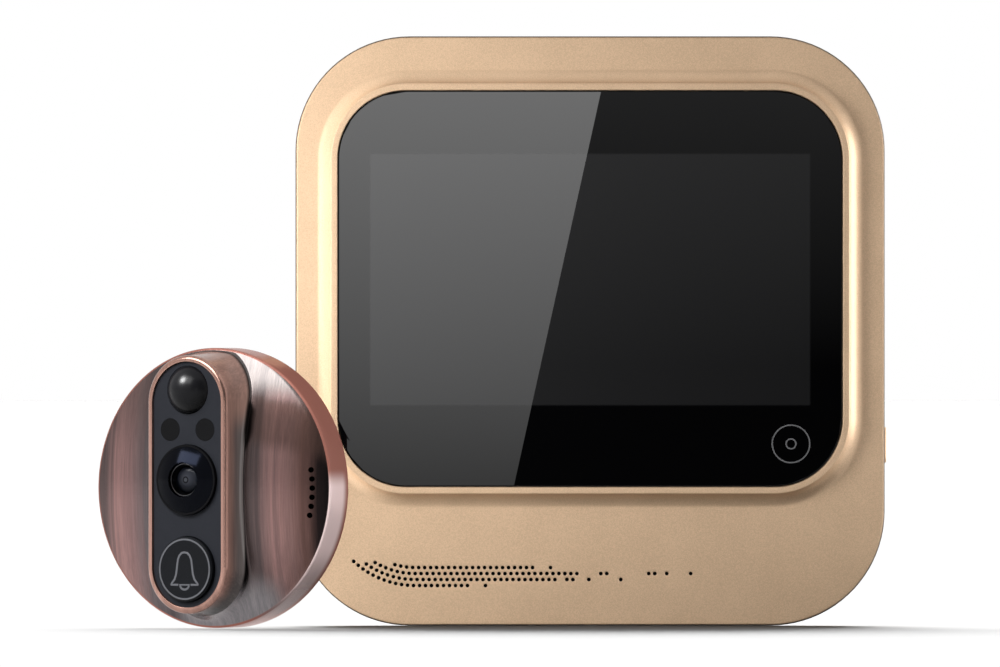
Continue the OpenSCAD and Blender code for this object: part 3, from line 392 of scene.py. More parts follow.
def housing_spots():
    """Where the wall is cut: the middle's height and the direction outward, once round the pod."""
    spots = []
    for side in (1, -1):
        for i in range(SIDE_CUTS):
            spots.append((side * (-POD_RUN + 2 * POD_RUN * i / SIDE_CUTS), float(side), 0.0))
        for i in range(END_CUTS):
            turn = math.pi * i / END_CUTS + (0 if side > 0 else math.pi)
            spots.append((side * POD_RUN, math.cos(turn), math.sin(turn)))
    return [(cy + POD_SHIFT, nx, ny) for cy, nx, ny in spots]


def housing_section(cy, nx, ny):
    """One cut through the wall, from the pocket over the pod and dome round the rim and back inside."""
    def radius(e):
        return math.hypot(e * nx, cy + e * ny)

    section = [(PANEL_HALF, POCKET_FLOOR), (PANEL_HALF, POD_RISE - 0.15),
               (PANEL_HALF + 0.05, POD_RISE - 0.04), (PANEL_HALF + 0.15, POD_RISE)]
    for k in range(SHOULDER_STEPS + 1):
        turn = math.pi / 2 * k / SHOULDER_STEPS
        section.append((POD_HALF - SHOULDER_R + SHOULDER_R * math.sin(turn),
                        SHOULDER_Z + SHOULDER_R * math.cos(turn)))
    low, high = -1.0, SHOULDER_Z - 0.01
    for _ in range(HALVINGS):
        middle = (low + high) / 2
        if dome_height(radius(POD_HALF + flank_reach(middle))) > middle:
            low = middle
        else:
            high = middle
    foot_z, foot_e = high, POD_HALF + flank_reach(high)
    squeeze = 1.0
    limit = reach_to_circle(cy, nx, ny, FOOT_LIMIT)
    if foot_e > limit:
        foot_z = dome_height(FOOT_LIMIT)
        squeeze = (limit - POD_HALF) / flank_reach(foot_z)
        foot_e = limit
    rim_e = reach_to_circle(cy, nx, ny, DISC_R - RIM_EDGE)
    lift = FOOT_LIFT + LOW_END_LIFT * max(0.0, -ny) ** 1.5
    spread = min(lift, (rim_e - foot_e) * 0.8)
    top_z = foot_z + lift
    for k in range(1, FLANK_STEPS + 1):
        z = SHOULDER_Z + (top_z - SHOULDER_Z) * k / FLANK_STEPS
        section.append((POD_HALF + squeeze * flank_reach(z), z))
    start = section[-1]
    last = (foot_e + spread, dome_height(radius(foot_e + spread)))
    for k in range(1, FILLET_STEPS + 1):
        t = k / FILLET_STEPS
        section.append(tuple((1 - t) ** 2 * a + 2 * t * (1 - t) * b + t * t * c
                             for a, b, c in zip(start, (foot_e, foot_z), last)))
    for k in range(1, DOME_STEPS + 1):
        e = last[0] + (rim_e - last[0]) * k / DOME_STEPS
        section.append((e, dome_height(radius(e))))
    edge_z = section[-1][1]
    for k in range(1, RIM_STEPS + 1):
        turn = math.pi / 2 * k / RIM_STEPS
        section.append((reach_to_circle(cy, nx, ny, DISC_R - RIM_EDGE + RIM_EDGE * math.sin(turn)),
                        edge_z - RIM_EDGE + RIM_EDGE * math.cos(turn)))
    for r, z in ((DISC_R, -2.0), (DISC_R, -5.0), (DISC_R, BACK_Z + BACK_EDGE), (DISC_R - BACK_EDGE, BACK_Z),
                 (CAVITY_R + CAVITY_EDGE, BACK_Z), (CAVITY_R, BACK_Z + CAVITY_EDGE),
                 (CAVITY_R, LEDGE_Z), (CAVITY_R - LEDGE_W, LEDGE_Z + 0.1)):
        section.append((reach_to_circle(cy, nx, ny, r), z))
    deep = reach_to_circle(cy, nx, ny, CAVITY_R - LEDGE_W)
    section.append((deep, dome_height(CAVITY_R - LEDGE_W) - SKIN))
    section.append((max(POCKET_INNER, min(deep - 0.3, POD_HALF - 1.0)), 0.5 * (POCKET_FLOOR + 1.0) - SKIN))
    section.append((POCKET_INNER, POCKET_FLOOR - 0.6))
    section.append((POCKET_INNER, POCKET_FLOOR))
    return section


def on_camera(place):
    """The place in the camera's own frame, in millimetres."""
    return place.add("ShaderNodeMapping", {"vector_type": "TEXTURE"},
                     {"Vector": place, "Location": CAMERA_PLACE.translation,
                      "Rotation": CAMERA_PLACE.to_euler(), "Scale": (MM, MM, MM)})


# Copper tones. Apart from the rim's copper and the brushing streaks, these are painted shade, painted reflections and
# painted highlights laid over the patina.
COPPER = {
    "painted_top_left_shade": (0.06, 0.045, 0.040), "painted_shade_patch": (0.070, 0.041, 0.034), "low": (0.250, 0.235, 0.245),
    "painted_crevice_shade": (0.006, 0.005, 0.005), "painted_sheen_tint": (0.120, 0.109, 0.106), "painted_foot_highlight": (0.300, 0.280, 0.275),
    "painted_pod_top_light": (0.350, 0.205, 0.165), "pod_shade": (0.012, 0.009, 0.008), "holes": (0.004, 0.003, 0.003),
    "rim": (0.35, 0.140, 0.108), "painted_rim_low_shade": (0.18, 0.126, 0.122), "painted_rim_reflection": (0.95, 0.735, 0.720),
    "streak_dark": (0.72, 0.72, 0.73), "streak_light": (1.22, 1.19, 1.17),
}
# Tones across the dome from left to right: patina mixed with painted reflection bands, dark beside the pod and toward
# the edges, pink between.
DOME_PATINA_AND_REFLECTION_TONES = [
    (0.000, (0.070, 0.055, 0.054)), (0.045, (0.115, 0.080, 0.078)), (0.110, (0.270, 0.158, 0.150)),
    (0.180, (0.215, 0.134, 0.130)), (0.250, (0.108, 0.090, 0.093)), (0.343, (0.100, 0.085, 0.088)),
    (0.664, (0.066, 0.054, 0.054)), (0.715, (0.082, 0.062, 0.061)), (0.765, (0.150, 0.096, 0.092)),
    (0.805, (0.225, 0.132, 0.124)), (0.850, (0.175, 0.104, 0.096)), (0.905, (0.100, 0.056, 0.049)),
    (0.945, (0.014, 0.010, 0.010)), (1.000, (0.006, 0.005, 0.005)),
]
# Tones up the pod's wall: copper toward the land, with painted reflection bands of brown and grey lower down.
WALL_COPPER_AND_REFLECTION_TONES = [
    (0.00, (0.100, 0.088, 0.086)), (0.34, (0.150, 0.132, 0.128)), (0.50, (0.125, 0.105, 0.101)),
    (0.62, (0.150, 0.108, 0.099)), (0.74, (0.220, 0.135, 0.114)), (0.83, (0.290, 0.168, 0.138)),
    (0.88, (0.360, 0.205, 0.168)), (0.94, (0.370, 0.215, 0.176)), (1.00, (0.400, 0.240, 0.200)),
]
WALL_LOW, WALL_RANGE = 2.0, 11.0


def antique_copper():
    """Red copper under a dark patina that brushing has taken off the raised parts, with painted reflections, shade
    and highlights in its tones; lengths in millimetres.
    """
    made, shader, place = new_finish("antique_copper", {"Specular IOR Level": 0.08})
    local = on_camera(place)
    across, up, out = local.axes()
    around = across * across + up * up
    fine = local.scaled((1.0, 0.012, 0.25)).grain(0.22, 3.0, 0.65)
    broad = local.scaled((1.0, 0.010, 0.15)).grain(1.5, 3.0)
    streak = fine * 0.55 + broad * 0.45
    sway = broad - 0.5

    # Painted reflection bands across the dome, partly patina.
    dome = ((across + DISC_R) / (2 * DISC_R) + sway * 0.09).tones(DOME_PATINA_AND_REFLECTION_TONES)
    # Painted shade: the upper left of the dome darker.
    painted_top_left_shade = up.ramp(6.0, 24.0) * across.ramp(-8.0, -14.0)
    dome = (painted_top_left_shade * 0.45).mix(dome, COPPER["painted_top_left_shade"])
    crown = up + across * 0.2 + sway * 1.5
    # Painted shade: a brown patch on the upper right of the dome, below the highlight.
    painted_shade_patch = crown.ramp(12.0, 17.0) * crown.ramp(27.2, 25.2) * across.ramp(11.0, 16.0)
    dome = (painted_shade_patch * 0.6).mix(dome, COPPER["painted_shade_patch"])
    # Painted reflection of the bright floor: the bottom of the dome grey.
    low = (up + sway * 2.0).ramp(-20.0, -29.0) * across.ramp(-12.0, -6.0) * across.ramp(24.0, 16.0)
    dome = low.mix(dome, COPPER["low"])
    past_run = ((up - POD_SHIFT).size() - POD_RUN).sum("MAXIMUM", 0.0)
    reach = (across * across + past_run * past_run).sum("SQRT")
    spread = 0.7 + up.ramp(8.0, 15.0) * up.ramp(23.0, 19.0) * 1.9
    # Painted shade: a near-black crevice along the foot of the pod's wall, widest beside its upper half.
    painted_crevice_shade = ((reach + sway).ramp(12.5 + spread, 12.2 + spread * 0.55)
               * up.ramp(-26.0, -22.0) * up.ramp(24.0, 20.5))
    dome = painted_crevice_shade.mix(dome, COPPER["painted_crevice_shade"])
    # Painted sheen: a neutral grey on the upper right of the dome where the high box's highlight falls, so that the
    # highlight reads white.
    painted_sheen_tint = (crown + (fine - 0.5) * 3.0).ramp(23.8, 30.5) * across.ramp(-9.0, -3.0)
    dome = painted_sheen_tint.mix(dome, COPPER["painted_sheen_tint"])

    lift = out - (DOME_RISE - around / (2 * DOME_R))
    beside = reach.ramp(12.62, 12.42) * lift.ramp(0.02, 0.25)
    above = lift.ramp(0.15, 0.45) * up.ramp(6.0, 12.0)
    pod = beside.sum("MAXIMUM", above)
    # Painted reflection bands up the pod's wall, copper at the top.
    wall = ((out - WALL_LOW) / WALL_RANGE + sway * 0.06).tones(WALL_COPPER_AND_REFLECTION_TONES)
    # Painted highlight: a light grey line along the foot of the pod's wall.
    foot = lift.ramp(0.35, 0.75) * lift.ramp(1.7, 1.0)
    wall = (foot * 0.6).mix(wall, COPPER["painted_foot_highlight"])
    # Painted highlight: the upper end of the pod's wall a lighter salmon copper.
    wall = (up.ramp(13.0, 21.0) * 0.8).mix(wall, COPPER["painted_pod_top_light"])
    shade = lift.ramp(1.5, 0.3) * up.ramp(8.0, 15.0) * across.ramp(-4.0, 4.0)
    wall = shade.mix(wall, COPPER["pod_shade"])
    # Painted shade: the walls of the sound ports near black.
    tone = lift.ramp(-0.45, -0.70).mix(pod.mix(dome, wall), COPPER["holes"])

    # Polished copper rim, with a painted pale reflection on its lower right side and painted shade toward its bottom.
    rim = around.sum("SQRT").ramp(34.35, 34.6)
    climb = up.ramp(-33.0, -14.0)
    pale = across.ramp(8.0, 20.0) * out.ramp(-7.5, -5.0) * up.ramp(5.0, 0.0)
    tone = rim.mix(tone, pale.mix(COPPER["rim"], climb.mix(COPPER["painted_rim_low_shade"], COPPER["painted_rim_reflection"])))
    brushed = 1 - rim
    worn = streak.ramp(0.30, 0.70).mix(COPPER["streak_dark"], COPPER["streak_light"])
    tone = tone.add("ShaderNodeMix", {"data_type": "RGBA", "blend_type": "MULTIPLY"},
                    {0: brushed * 0.9, 6: tone, 7: worn}, out=2)
    feed(shader, {
        "Base Color": tone,
        "Metallic": 1 - rim * climb * 0.85 - pod * out.ramp(12.3, 11.3) * 0.97,
        "Roughness": 0.26 - brushed * 0.12 + brushed * streak * 0.10,
        "Normal": (streak * brushed).bump(0.000010),
    })
    return made


spots = housing_spots()
sections = [housing_section(*spot) for spot in spots]
count, depth = len(spots), len(sections[0])
points = [(e * nx * MM, (cy + e * ny) * MM, z * MM)
          for (cy, nx, ny), section in zip(spots, sections) for e, z in section]
faces = []
for i in range(count):
    here, beside = i * depth, (i + 1) % count * depth
    for k in range(depth):
        after = (k + 1) % depth
        faces.append((here + k, beside + k, beside + after, here + after))
shell_mesh = bpy.data.meshes.new("camera_shell")
shell_mesh.from_pydata(points, [], faces)
camera_shell = bpy.data.objects.new("camera_shell", shell_mesh)
bpy.context.scene.collection.objects.link(camera_shell)
select_only(camera_shell)
bpy.ops.object.mode_set(mode="EDIT")
bpy.ops.mesh.select_all(action="SELECT")
bpy.ops.mesh.normals_make_consistent(inside=False)
bpy.ops.object.mode_set(mode="OBJECT")

PORT_R, PORT_D, PORT_COUNT, PORT_STEP, PORT_MIDDLE = 30.4, 1.4, 6, 4.3, -2.0
DRILL_Z, DRILL_LENGTH, DRILL_SIDES = 1.0, 8.0, 32
for i in range(PORT_COUNT):
    turn = math.radians(PORT_MIDDLE + (i - (PORT_COUNT - 1) / 2) * PORT_STEP)
    bpy.ops.object.select_all(action="DESELECT")
    bpy.ops.mesh.primitive_cylinder_add(
        vertices=DRILL_SIDES, radius=PORT_D / 2 * MM, depth=DRILL_LENGTH * MM,
        location=(PORT_R * math.cos(turn) * MM, PORT_R * math.sin(turn) * MM, DRILL_Z * MM))
    drill = bpy.context.object
    select_only(camera_shell)
    cut = camera_shell.modifiers.new("port", "BOOLEAN")
    cut.operation, cut.object, cut.solver = "DIFFERENCE", drill, "EXACT"
    bpy.ops.object.modifier_apply(modifier=cut.name)
    bpy.data.objects.remove(drill)
settle(camera_shell, CAMERA_PLACE, antique_copper(), 28)
stand_for(camera_shell, "camera_housing")


# Front panel of the camera: a satin dark plate let into the pod, with openings for the
# motion sensor, two infrared lamps, the lens and the bell button.
# The sensor's dome is polished black, the lamps' windows are smoked and nearly matt.
satin_panel = grained("satin_panel", {"Specular IOR Level": 0.16}, (0.020, 0.022, 0.029), (0.026, 0.028, 0.036),
                      0.00025, 0.000006, (0.46, 0.58))
joined_copy("fascia_panel", "front_panel", satin_panel)
piano_black = grained("polished_black", {"Specular IOR Level": 0.12}, (0.003, 0.003, 0.0035), (0.004, 0.004, 0.005),
                      0.004, 0.0, (0.23, 0.27))
joined_copy("motion_dome", "motion_cap", piano_black)
smoked = grained("smoked_window", {"Specular IOR Level": 0.06}, (0.009, 0.009, 0.010), (0.011, 0.011, 0.012),
                 0.0003, 0.000002, (0.30, 0.40))
joined_copy("infrared_windows", "infrared_caps", smoked)


# Lens: a matt black barrel with a funnel, a wide domed front glass and a small inner glass.
# A turned black tube stands on the funnel, with a coated middle glass seated in it
# and a thin bright ring on its top, close behind the clear middle of the front glass.
LENS_V, CLEAR_R, CLEAR_EDGE = 2.1, 4.3, 0.1
COAT_TINT = (0.0015, 0.0015, 0.003)
EYE_COAT_AND_REFLECTION_TONES = [(0.0, (0.090, 0.096, 0.120)), (0.30, (0.042, 0.046, 0.060)),
             (0.62, (0.014, 0.016, 0.024)), (1.0, (0.004, 0.005, 0.008))]
EYE_RING, EYE_CENTRE_GLINT = (0.008, 0.008, 0.011), (0.075, 0.080, 0.095)
FUNNEL_Z, FUNNEL_STEP, TUBE_TOP, TUBE_R, TUBE_MOUTH = 9.78, 0.39, 13.42, 4.05, 3.85
EYE_R, EYE_Z, EYE_RISE, EYE_EDGE = 3.4, 11.9, 1.05, 0.8
RING_R, RING_RISE = 3.9, 0.1


def from_lens_axis(place):
    """The place on the camera, its offsets from the lens axis and its distance from it, in millimetres."""
    local = on_camera(place)
    across, up, _ = local.axes()
    above = up - LENS_V
    return local, across, above, (across * across + above * above).sum("SQRT")


def wide_glass_coating():
    """Glass with a dark rear coat and a clear middle round the lens axis."""
    made, shader, place = new_finish("wide_glass_coating", {
        "IOR": 1.5, "Specular IOR Level": 0.06, "Specular Tint": (0.72, 0.80, 1.0, 1)})
    away = from_lens_axis(place)[3]
    haze = place.grain(0.004)
    feed(shader, {
        "Base Color": haze.ramp(0.2, 0.8).mix(COAT_TINT, [0.8 * c for c in COAT_TINT]),
        "Roughness": 0.09 + haze * 0.04,
        "Alpha": away.ramp(CLEAR_R - CLEAR_EDGE, CLEAR_R + CLEAR_EDGE),
    })
    return made


def lens_eye():
    """The coat of the inner glasses: blue-grey with a dark ring round the pupil, and a painted reflection that is
    lighter at the centre and toward the upper right and darker outward.
    """
    made, shader, place = new_finish("lens_eye", {"Specular IOR Level": 0.1})
    local, across, above, distance = from_lens_axis(place)
    away = distance + local.grain(0.5) * 0.1
    coat = ((away - across * 0.30 - above * 0.25) / 3.4).tones(EYE_COAT_AND_REFLECTION_TONES)
    pupil = away.ramp(0.55, 0.42)
    ring = away.ramp(0.48, 0.60) * away.ramp(0.98, 0.86)
    feed(shader, {
        "Base Color": pupil.mix(ring.mix(coat, EYE_RING), EYE_CENTRE_GLINT),
        "Roughness": 0.1 + local.grain(0.4) * 0.1,
    })
    return made


funnel_black = grained("funnel_black", {"Specular IOR Level": 0.08}, (0.002, 0.002, 0.003), (0.003, 0.003, 0.004),
                       0.002, 0.0, (0.5, 0.6))
steel_edge = grained("blackened_edge", {"Metallic": 0.4}, (0.14, 0.14, 0.15), (0.18, 0.18, 0.20),
                     0.0004, 0.000003, (0.25, 0.35))
eye = lens_eye()
joined_copy("lens_barrel", "lens_tube", funnel_black)
joined_copy("front_lens", "wide_glass", wide_glass_coating())
joined_copy("inner_lens", "small_glass", eye)
lens_axis = CAMERA_PLACE @ Matrix.Translation((0, LENS_V * MM, 0))
inner_tube = turned("inner_tube", [(EYE_R, FUNNEL_Z), (TUBE_R, FUNNEL_Z + FUNNEL_STEP), (TUBE_R, TUBE_TOP),
                                   (TUBE_MOUTH, TUBE_TOP), (EYE_R, EYE_Z)], loop=True)
settle(inner_tube, lens_axis, funnel_black)
eye_turns = [math.radians(a) for a in range(90, 0, -6)]
eye_curve = [(EYE_R * math.sin(turn), EYE_Z + EYE_RISE * math.cos(turn)) for turn in eye_turns]
middle_glass = turned("middle_glass", [(0.0, EYE_Z - EYE_EDGE), (EYE_R, EYE_Z - EYE_EDGE), *eye_curve,
                                       (0.0, EYE_Z + EYE_RISE)])
settle(middle_glass, lens_axis, eye, 60)
lens_ring = flat_ring("lens_ring", RING_R, TUBE_R, 0.0, RING_RISE)
settle(lens_ring, lens_axis @ Matrix.Translation((0, 0, TUBE_TOP * MM)), steel_edge)
for piece, slot in ((inner_tube, "black_plastic"), (middle_glass, "lens_glass"), (lens_ring, "black_plastic")):
    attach(piece, "set")


# Bell button: a satin black cap that moves 0.7 mm into the camera.
# A ring and a line-drawn bell are printed on it in grey ink.
button_black = grained("button_black", {"Specular IOR Level": 0.12}, (0.006, 0.007, 0.009), (0.009, 0.010, 0.013),
                       0.0004, 0.000006, (0.34, 0.46))
joined_copy("bell_button", "bell_cap", button_black)
BUTTON_V, BUTTON_TOP = -20.2, 13.4
BUTTON_PLACE = CAMERA_PLACE @ Matrix.Translation((0, BUTTON_V * MM, BUTTON_TOP * MM))
pale_ink = grained("pale_ink", {"Specular IOR Level": 0.2}, (0.190, 0.195, 0.215), (0.235, 0.240, 0.265),
                   0.0002, 0.0, (0.45, 0.55))
bell_ring = flat_ring("bell_ring", 7.22, 7.64, -0.03, 0.03)
settle(bell_ring, BUTTON_PLACE, pale_ink)
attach(bell_ring, "bell")

STROKE_R, STROKE_FLATTEN = 0.27, 0.15
BELL_FOOT, CLAPPER_W, CLAPPER_H = -3.9, 1.35, 1.2
HALF_BELL = [(0.0, 4.2), (0.8, 4.05), (1.5, 3.45), (2.0, 2.4), (2.25, 0.6), (2.5, -1.2), (2.95, -2.5),
             (4.0, -3.75), (3.95, BELL_FOOT), (1.85, BELL_FOOT)]
bell_outline = HALF_BELL[::-1] + [(-x, y) for x, y in HALF_BELL[1:]]
clapper_turns = [math.radians(a) for a in range(0, 181, 20)]
clapper = [(CLAPPER_W * math.cos(turn), BELL_FOOT - CLAPPER_H * math.sin(turn)) for turn in clapper_turns]
bell_curve = bpy.data.curves.new("bell_mark", "CURVE")
bell_curve.dimensions = "3D"
bell_curve.bevel_depth = STROKE_R * MM
bell_curve.bevel_resolution = 2
bell_curve.use_fill_caps = True
for path, closed in ((bell_outline, False), (clapper, True)):
    spline = bell_curve.splines.new("POLY")
    spline.points.add(len(path) - 1)
    for point, (x, y) in zip(spline.points, path):
        point.co = (x * MM, y * MM, 0, 1)
    spline.use_cyclic_u = closed
bell_mark = bpy.data.objects.new("bell_mark", bell_curve)
bpy.context.scene.collection.objects.link(bell_mark)
select_only(bell_mark)
bpy.ops.object.convert(target="MESH")
bell_mark = bpy.context.object
bell_mark.scale = (1, 1, STROKE_FLATTEN)
bpy.ops.object.transform_apply(location=True, rotation=True, scale=True)
settle(bell_mark, BUTTON_PLACE, pale_ink, 60)
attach(bell_mark, "bell")


# Back of the camera: a moulded plate on four screws, with a spigot for the door's viewer hole,
# two brass inserts for the tie bolts and a ring of soft foam against the door.
# A rubber seal and the edge of the circuit board lie behind the plate.
joined_copy("back_plate", "back_shell", black_mould)
brass = grained("turned_brass", {"Metallic": 1.0}, (0.60, 0.42, 0.16), (0.70, 0.52, 0.22),
                0.0006, 0.000004, (0.22, 0.34))
joined_copy("threaded_inserts", "brass_inserts", brass)
joined_copy("plate_screws", "plate_screw_set", zinc)
seal_rubber = grained("seal_rubber", {}, (0.010, 0.010, 0.010), (0.016, 0.016, 0.016), 0.0006, 0.00002, (0.55, 0.7))
joined_copy("back_seal", "seal_ring", seal_rubber)
solder_mask = grained("solder_mask", {}, (0.012, 0.060, 0.025), (0.020, 0.090, 0.038), 0.0007, 0.00002, (0.3, 0.45))
joined_copy("camera_board", "camera_circuit", solder_mask)
soft_foam = grained("closed_cell_foam", {}, (0.012, 0.012, 0.012), (0.022, 0.022, 0.022), 0.0005, 0.0001, (0.75, 0.9))
joined_copy("foam_pad", "door_foam", soft_foam)


# Inner parts: boards, shield, cell, speakers, gaskets and the like keep their solids
# and take a finish for their own material.
# What lies right behind the sound holes is as dark as the gaskets.
INNER = {
    "tape": ({}, (0.012, 0.012, 0.012), (0.02, 0.02, 0.02), 0.0006, 0.00004, (0.7, 0.85)),
    "display": ({}, (0.01, 0.01, 0.012), (0.016, 0.016, 0.018), 0.002, 0.000003, (0.1, 0.2)),
    "pad_film": ({}, (0.30, 0.17, 0.03), (0.42, 0.25, 0.05), 0.0015, 0.000005, (0.25, 0.4)),
    "sheet": ({"Metallic": 1.0}, (0.50, 0.51, 0.52), (0.62, 0.63, 0.64), 0.001, 0.000004, (0.3, 0.45)),
    "board": ({}, (0.012, 0.060, 0.025), (0.020, 0.090, 0.038), 0.0007, 0.00002, (0.3, 0.45)),
    "chip": ({}, (0.012, 0.012, 0.013), (0.02, 0.02, 0.022), 0.0004, 0.00001, (0.45, 0.6)),
    "cell": ({}, (0.045, 0.10, 0.18), (0.06, 0.13, 0.22), 0.003, 0.00001, (0.3, 0.45)),
    "gasket": ({"Specular IOR Level": 0.1}, (0.004, 0.004, 0.004), (0.007, 0.007, 0.007),
               0.0005, 0.00005, (0.7, 0.85)),
}
inner_finish = {slot: grained("inner_" + slot, *values) for slot, values in INNER.items()}
matt_black = grained("matt_black", {"Specular IOR Level": 0.15}, (0.003, 0.003, 0.004), (0.005, 0.005, 0.006),
                     0.0003, 0.00001, (0.45, 0.6))
lamp_glass = grained("lamp_glass", {}, (0.05, 0.055, 0.07), (0.06, 0.066, 0.08), 0.002, 0.0, (0.05, 0.1))
inner_finish.update({"steel": zinc, "black_plastic": matt_black, "socket_plastic": ivory, "lens_glass": lamp_glass})
BEHIND_HOLES = ("speaker", "microphone", "door_speaker", "door_microphone")
for node, solid in frame["nodes"].items():
    if SLOT_OF[node] in inner_finish:
        solid.data.materials.clear()
        solid.data.materials.append(inner_finish["gasket" if node in BEHIND_HOLES else SLOT_OF[node]])


# Studio: a pale floor, a white surround, soft boxes and cards that the metal and glass reflect,
# and a long lens straight in front of the monitor.
# Some lamps light only the pieces they are meant for.
scene = bpy.context.scene
scene.view_settings.view_transform = "Standard"


def glow(name, strength):
    """A finish that only shines, with a number for its strength or a function of the height."""
    made = bpy.data.materials.new(name)
    made.use_nodes = True
    tree = made.node_tree
    tree.nodes.remove(tree.nodes["Principled BSDF"])
    if callable(strength):
        strength = strength(Wire(tree).add("ShaderNodeTexCoord", out="Object").axes()[2])
    light = Wire(tree).add("ShaderNodeEmission", {}, {"Strength": strength})
    tree.links.new(light.socket, tree.nodes["Material Output"].inputs["Surface"])
    return made


def fading(low_z, low, high_z, high):
    """A strength that changes with the height from the low value to the high one."""
    def strength(up):
        return ((up - low_z) / (high_z - low_z) * (high - low) + low).sum("MAXIMUM", LEAST_GLOW)
    return strength


def card(name, corners, finish):
    """A flat card that only reflections see."""
    mesh = bpy.data.meshes.new(name)
    mesh.from_pydata(corners, [], [tuple(range(len(corners)))])
    made = bpy.data.objects.new(name, mesh)
    scene.collection.objects.link(made)
    mesh.materials.append(finish)
    made.visible_camera = made.visible_diffuse = made.visible_shadow = made.visible_volume_scatter = False
    return made


def soft_box(name, spot, target, size, power, colour=(1, 1, 1)):
    lamp = bpy.data.lights.new(name, "AREA")
    lamp.shape, lamp.size, lamp.size_y, lamp.energy, lamp.color = "RECTANGLE", size[0], size[1], power, colour
    made = bpy.data.objects.new(name, lamp)
    made.location = spot
    made.rotation_euler = (Vector(target) - Vector(spot)).to_track_quat("-Z", "Y").to_euler()
    made.visible_camera = False
    scene.collection.objects.link(made)
    return made


FLOOR_SIZE, FLOOR_Y, FLOOR_Z = 30, 5, -0.0002
bpy.ops.object.select_all(action="DESELECT")
bpy.ops.mesh.primitive_plane_add(size=FLOOR_SIZE, location=(0, FLOOR_Y, FLOOR_Z))
floor = bpy.context.object
floor.name = "floor"
paper, paper_shader, ground = new_finish("paper", {
    "Base Color": (0.3, 0.3, 0.3, 1), "Roughness": 0.9, "Specular IOR Level": 0.0, "Emission Color": (1, 1, 1, 1)})
paper_rays = ground.add("ShaderNodeLightPath").socket.node.outputs
# Painted light: left of the monitor the floor glows in reflections alone, which brightens what the camera's underside
# reflects.
in_mirrors = Wire(paper.node_tree, paper_rays["Is Glossy Ray"])
feed(paper_shader, {"Emission Strength": in_mirrors * ground.axes()[0].ramp(-0.05, -0.09) * 0.3})
floor.data.materials.append(paper)
floor.visible_diffuse = False

AMBIENT = 0.22
world = bpy.data.worlds.new("surround")
scene.world = world
world.use_nodes = True
sky = world.node_tree
sky_rays = Wire(sky).add("ShaderNodeLightPath").socket.node.outputs
in_camera, in_gloss, in_glass = [
    Wire(sky, sky_rays[key]) for key in ("Is Camera Ray", "Is Glossy Ray", "Is Transmission Ray")]
seen = (in_camera + in_gloss + in_glass).ramp(0.0, 1.0)
background = sky.nodes["Background"]
background.inputs["Color"].default_value = (1, 1, 1, 1)
feed(background, {"Strength": seen * (1 - AMBIENT) + AMBIENT})

monitor_faces = [scene.objects[name] for name in (
    "front_shell", "screen", "power_cap", "rear_shell", "home_ring_large", "home_ring_small")]
wide_glass, motion_cap = scene.objects["wide_glass"], scene.objects["motion_cap"]
disc_faces = [camera_shell, motion_cap, middle_glass, bell_ring, bell_mark] + [scene.objects[name] for name in (
    "front_panel", "infrared_caps", "lens_tube", "bell_cap")]


def group(name, pieces):
    made = bpy.data.collections.new(name)
    for piece in pieces:
        made.objects.link(piece)
    return made


def only_on(lamp, name, pieces, shading=None):
    """Lets a lamp light the given pieces alone, shaded by all or by the given ones."""
    lamp.light_linking.receiver_collection = group(name, pieces)
    if shading:
        lamp.light_linking.blocker_collection = group(name + "_blockers", shading)


def floor_sun(name, energy, spread, tilt, shading=None):
    """Light on the floor alone, which gives the soft shadow in front of the foot."""
    sun = bpy.data.lights.new(name, "SUN")
    sun.energy, sun.angle = energy, math.radians(spread)
    lamp = bpy.data.objects.new(name, sun)
    lamp.rotation_euler = (math.radians(tilt), 0, 0)
    scene.collection.objects.link(lamp)
    only_on(lamp, name + "_floor", [floor], shading)


floor_sun("back_sun", 8.2, 36, -45, monitor_faces)
floor_sun("disc_sun", 3.2, 42, -45, monitor_faces + [camera_shell])
floor_sun("sky_sun", 2.6, 62, -34)
key = soft_box("key", (-0.212, -0.133, 0.088), (-0.05, 0, 0.068), (0.08, 0.16), 1.16)
key.visible_glossy = False
only_on(key, "key_on_monitor", monitor_faces, monitor_faces)
left_strip = soft_box("left_strip", (-0.30, -0.40, 0.085), (-0.064, 0, 0.085), (0.10, 0.30), 0.10)
only_on(left_strip, "left_on_monitor", monitor_faces, monitor_faces)
right_strip = soft_box("right_strip", (0.40, -0.01, 0.085), (0.07, 0, 0.085), (0.26, 0.30), 1.6)
only_on(right_strip, "right_on_monitor", monitor_faces, monitor_faces)
high_box = soft_box("high_box", (-0.70, -0.58, 0.74), (-0.094, -0.07, 0.04), (0.90, 0.48), 11.5)
only_on(high_box, "high_on_disc", disc_faces)
side_box = soft_box("side_box", (0.35, -0.45, 0.10), (-0.07, -0.06, 0.04), (0.30, 0.30), 2.2)
side_box.visible_glossy = False
only_on(side_box, "side_on_disc", [camera_shell])
cap_box = soft_box("cap_box", (-0.48, -0.24, 0.36), (-0.10, -0.075, 0.06), (0.16, 0.16), 7.5)
only_on(cap_box, "cap_only", [motion_cap])
lens_box = soft_box("lens_box", (-0.73, -0.40, 0.39), (-0.10, -0.07, 0.04), (0.46, 0.20), 4.4, (0.70, 0.76, 1.0))
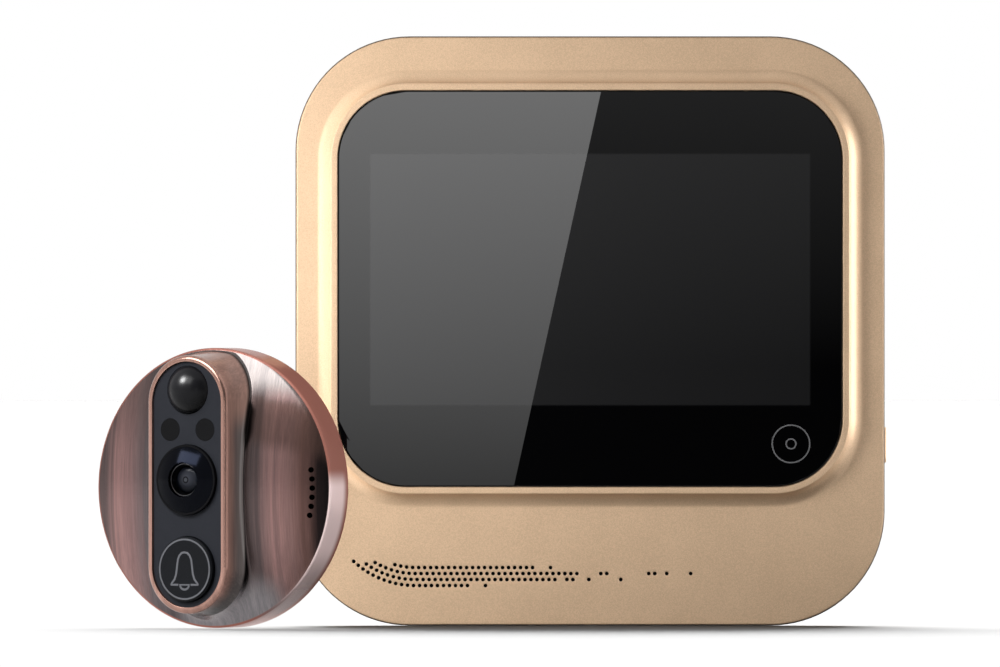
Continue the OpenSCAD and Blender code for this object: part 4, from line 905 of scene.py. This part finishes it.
only_on(lens_box, "lens_only", [wide_glass])

LEAST_GLOW = 0.02
FLAG_Y, FOOT_Z, UNDER_Z = -1.30, 0.001, -0.004
GLASS_CARD_Y, CARD_LEFT, CARD_RIGHT, CARD_LOW, CARD_HIGH = -1.209, -0.082, 0.092, 0.015, 0.160
EDGE_X, EDGE_Z, EDGE_SLOPE = -0.0181, 0.0293, 0.2208
edge_low, edge_high = [EDGE_X + EDGE_SLOPE * (z - EDGE_Z) for z in (CARD_LOW, CARD_HIGH)]


def level_card(name, left, right, front, back, z, strength):
    return card(name, [(left, front, z), (right, front, z), (right, back, z), (left, back, z)],
                glow(name.replace("card", "dark"), strength))


card("front_flag", [(-0.50, FLAG_Y, -0.2), (0.90, FLAG_Y, -0.2), (0.90, FLAG_Y, 1.2), (-0.50, FLAG_Y, 1.2)],
     glow("flag_grey", 0.25))
level_card("foot_card", -0.02, 0.12, -0.06, -0.012, FOOT_Z, 0.02)
under_card = level_card("under_card", -0.5, 0.5, -0.6, 0.2, UNDER_Z, 0.0)
under_card.visible_diffuse, under_card.visible_glossy = True, False
card("window_card", [(CARD_LEFT, GLASS_CARD_Y, CARD_LOW), (edge_low, GLASS_CARD_Y, CARD_LOW),
                     (edge_high, GLASS_CARD_Y, CARD_HIGH), (CARD_LEFT, GLASS_CARD_Y, CARD_HIGH)],
     glow("window_light", fading(0.03, 2.0, 0.145, 7.4)))
card("dark_card", [(edge_low, GLASS_CARD_Y, CARD_LOW), (CARD_RIGHT, GLASS_CARD_Y, CARD_LOW),
                   (CARD_RIGHT, GLASS_CARD_Y, CARD_HIGH), (edge_high, GLASS_CARD_Y, CARD_HIGH)],
     glow("dark_light", fading(0.065, 0.03, 0.145, 0.70)))

view = bpy.data.cameras.new("view")
view.lens = 857.1
view.sensor_width = 36
view.clip_end = 200
camera = bpy.data.objects.new("view", view)
camera.location = (-0.0227, -6.0065, 0.0736)
camera.rotation_euler = (math.radians(90), 0, 0)
scene.collection.objects.link(camera)
scene.camera = camera
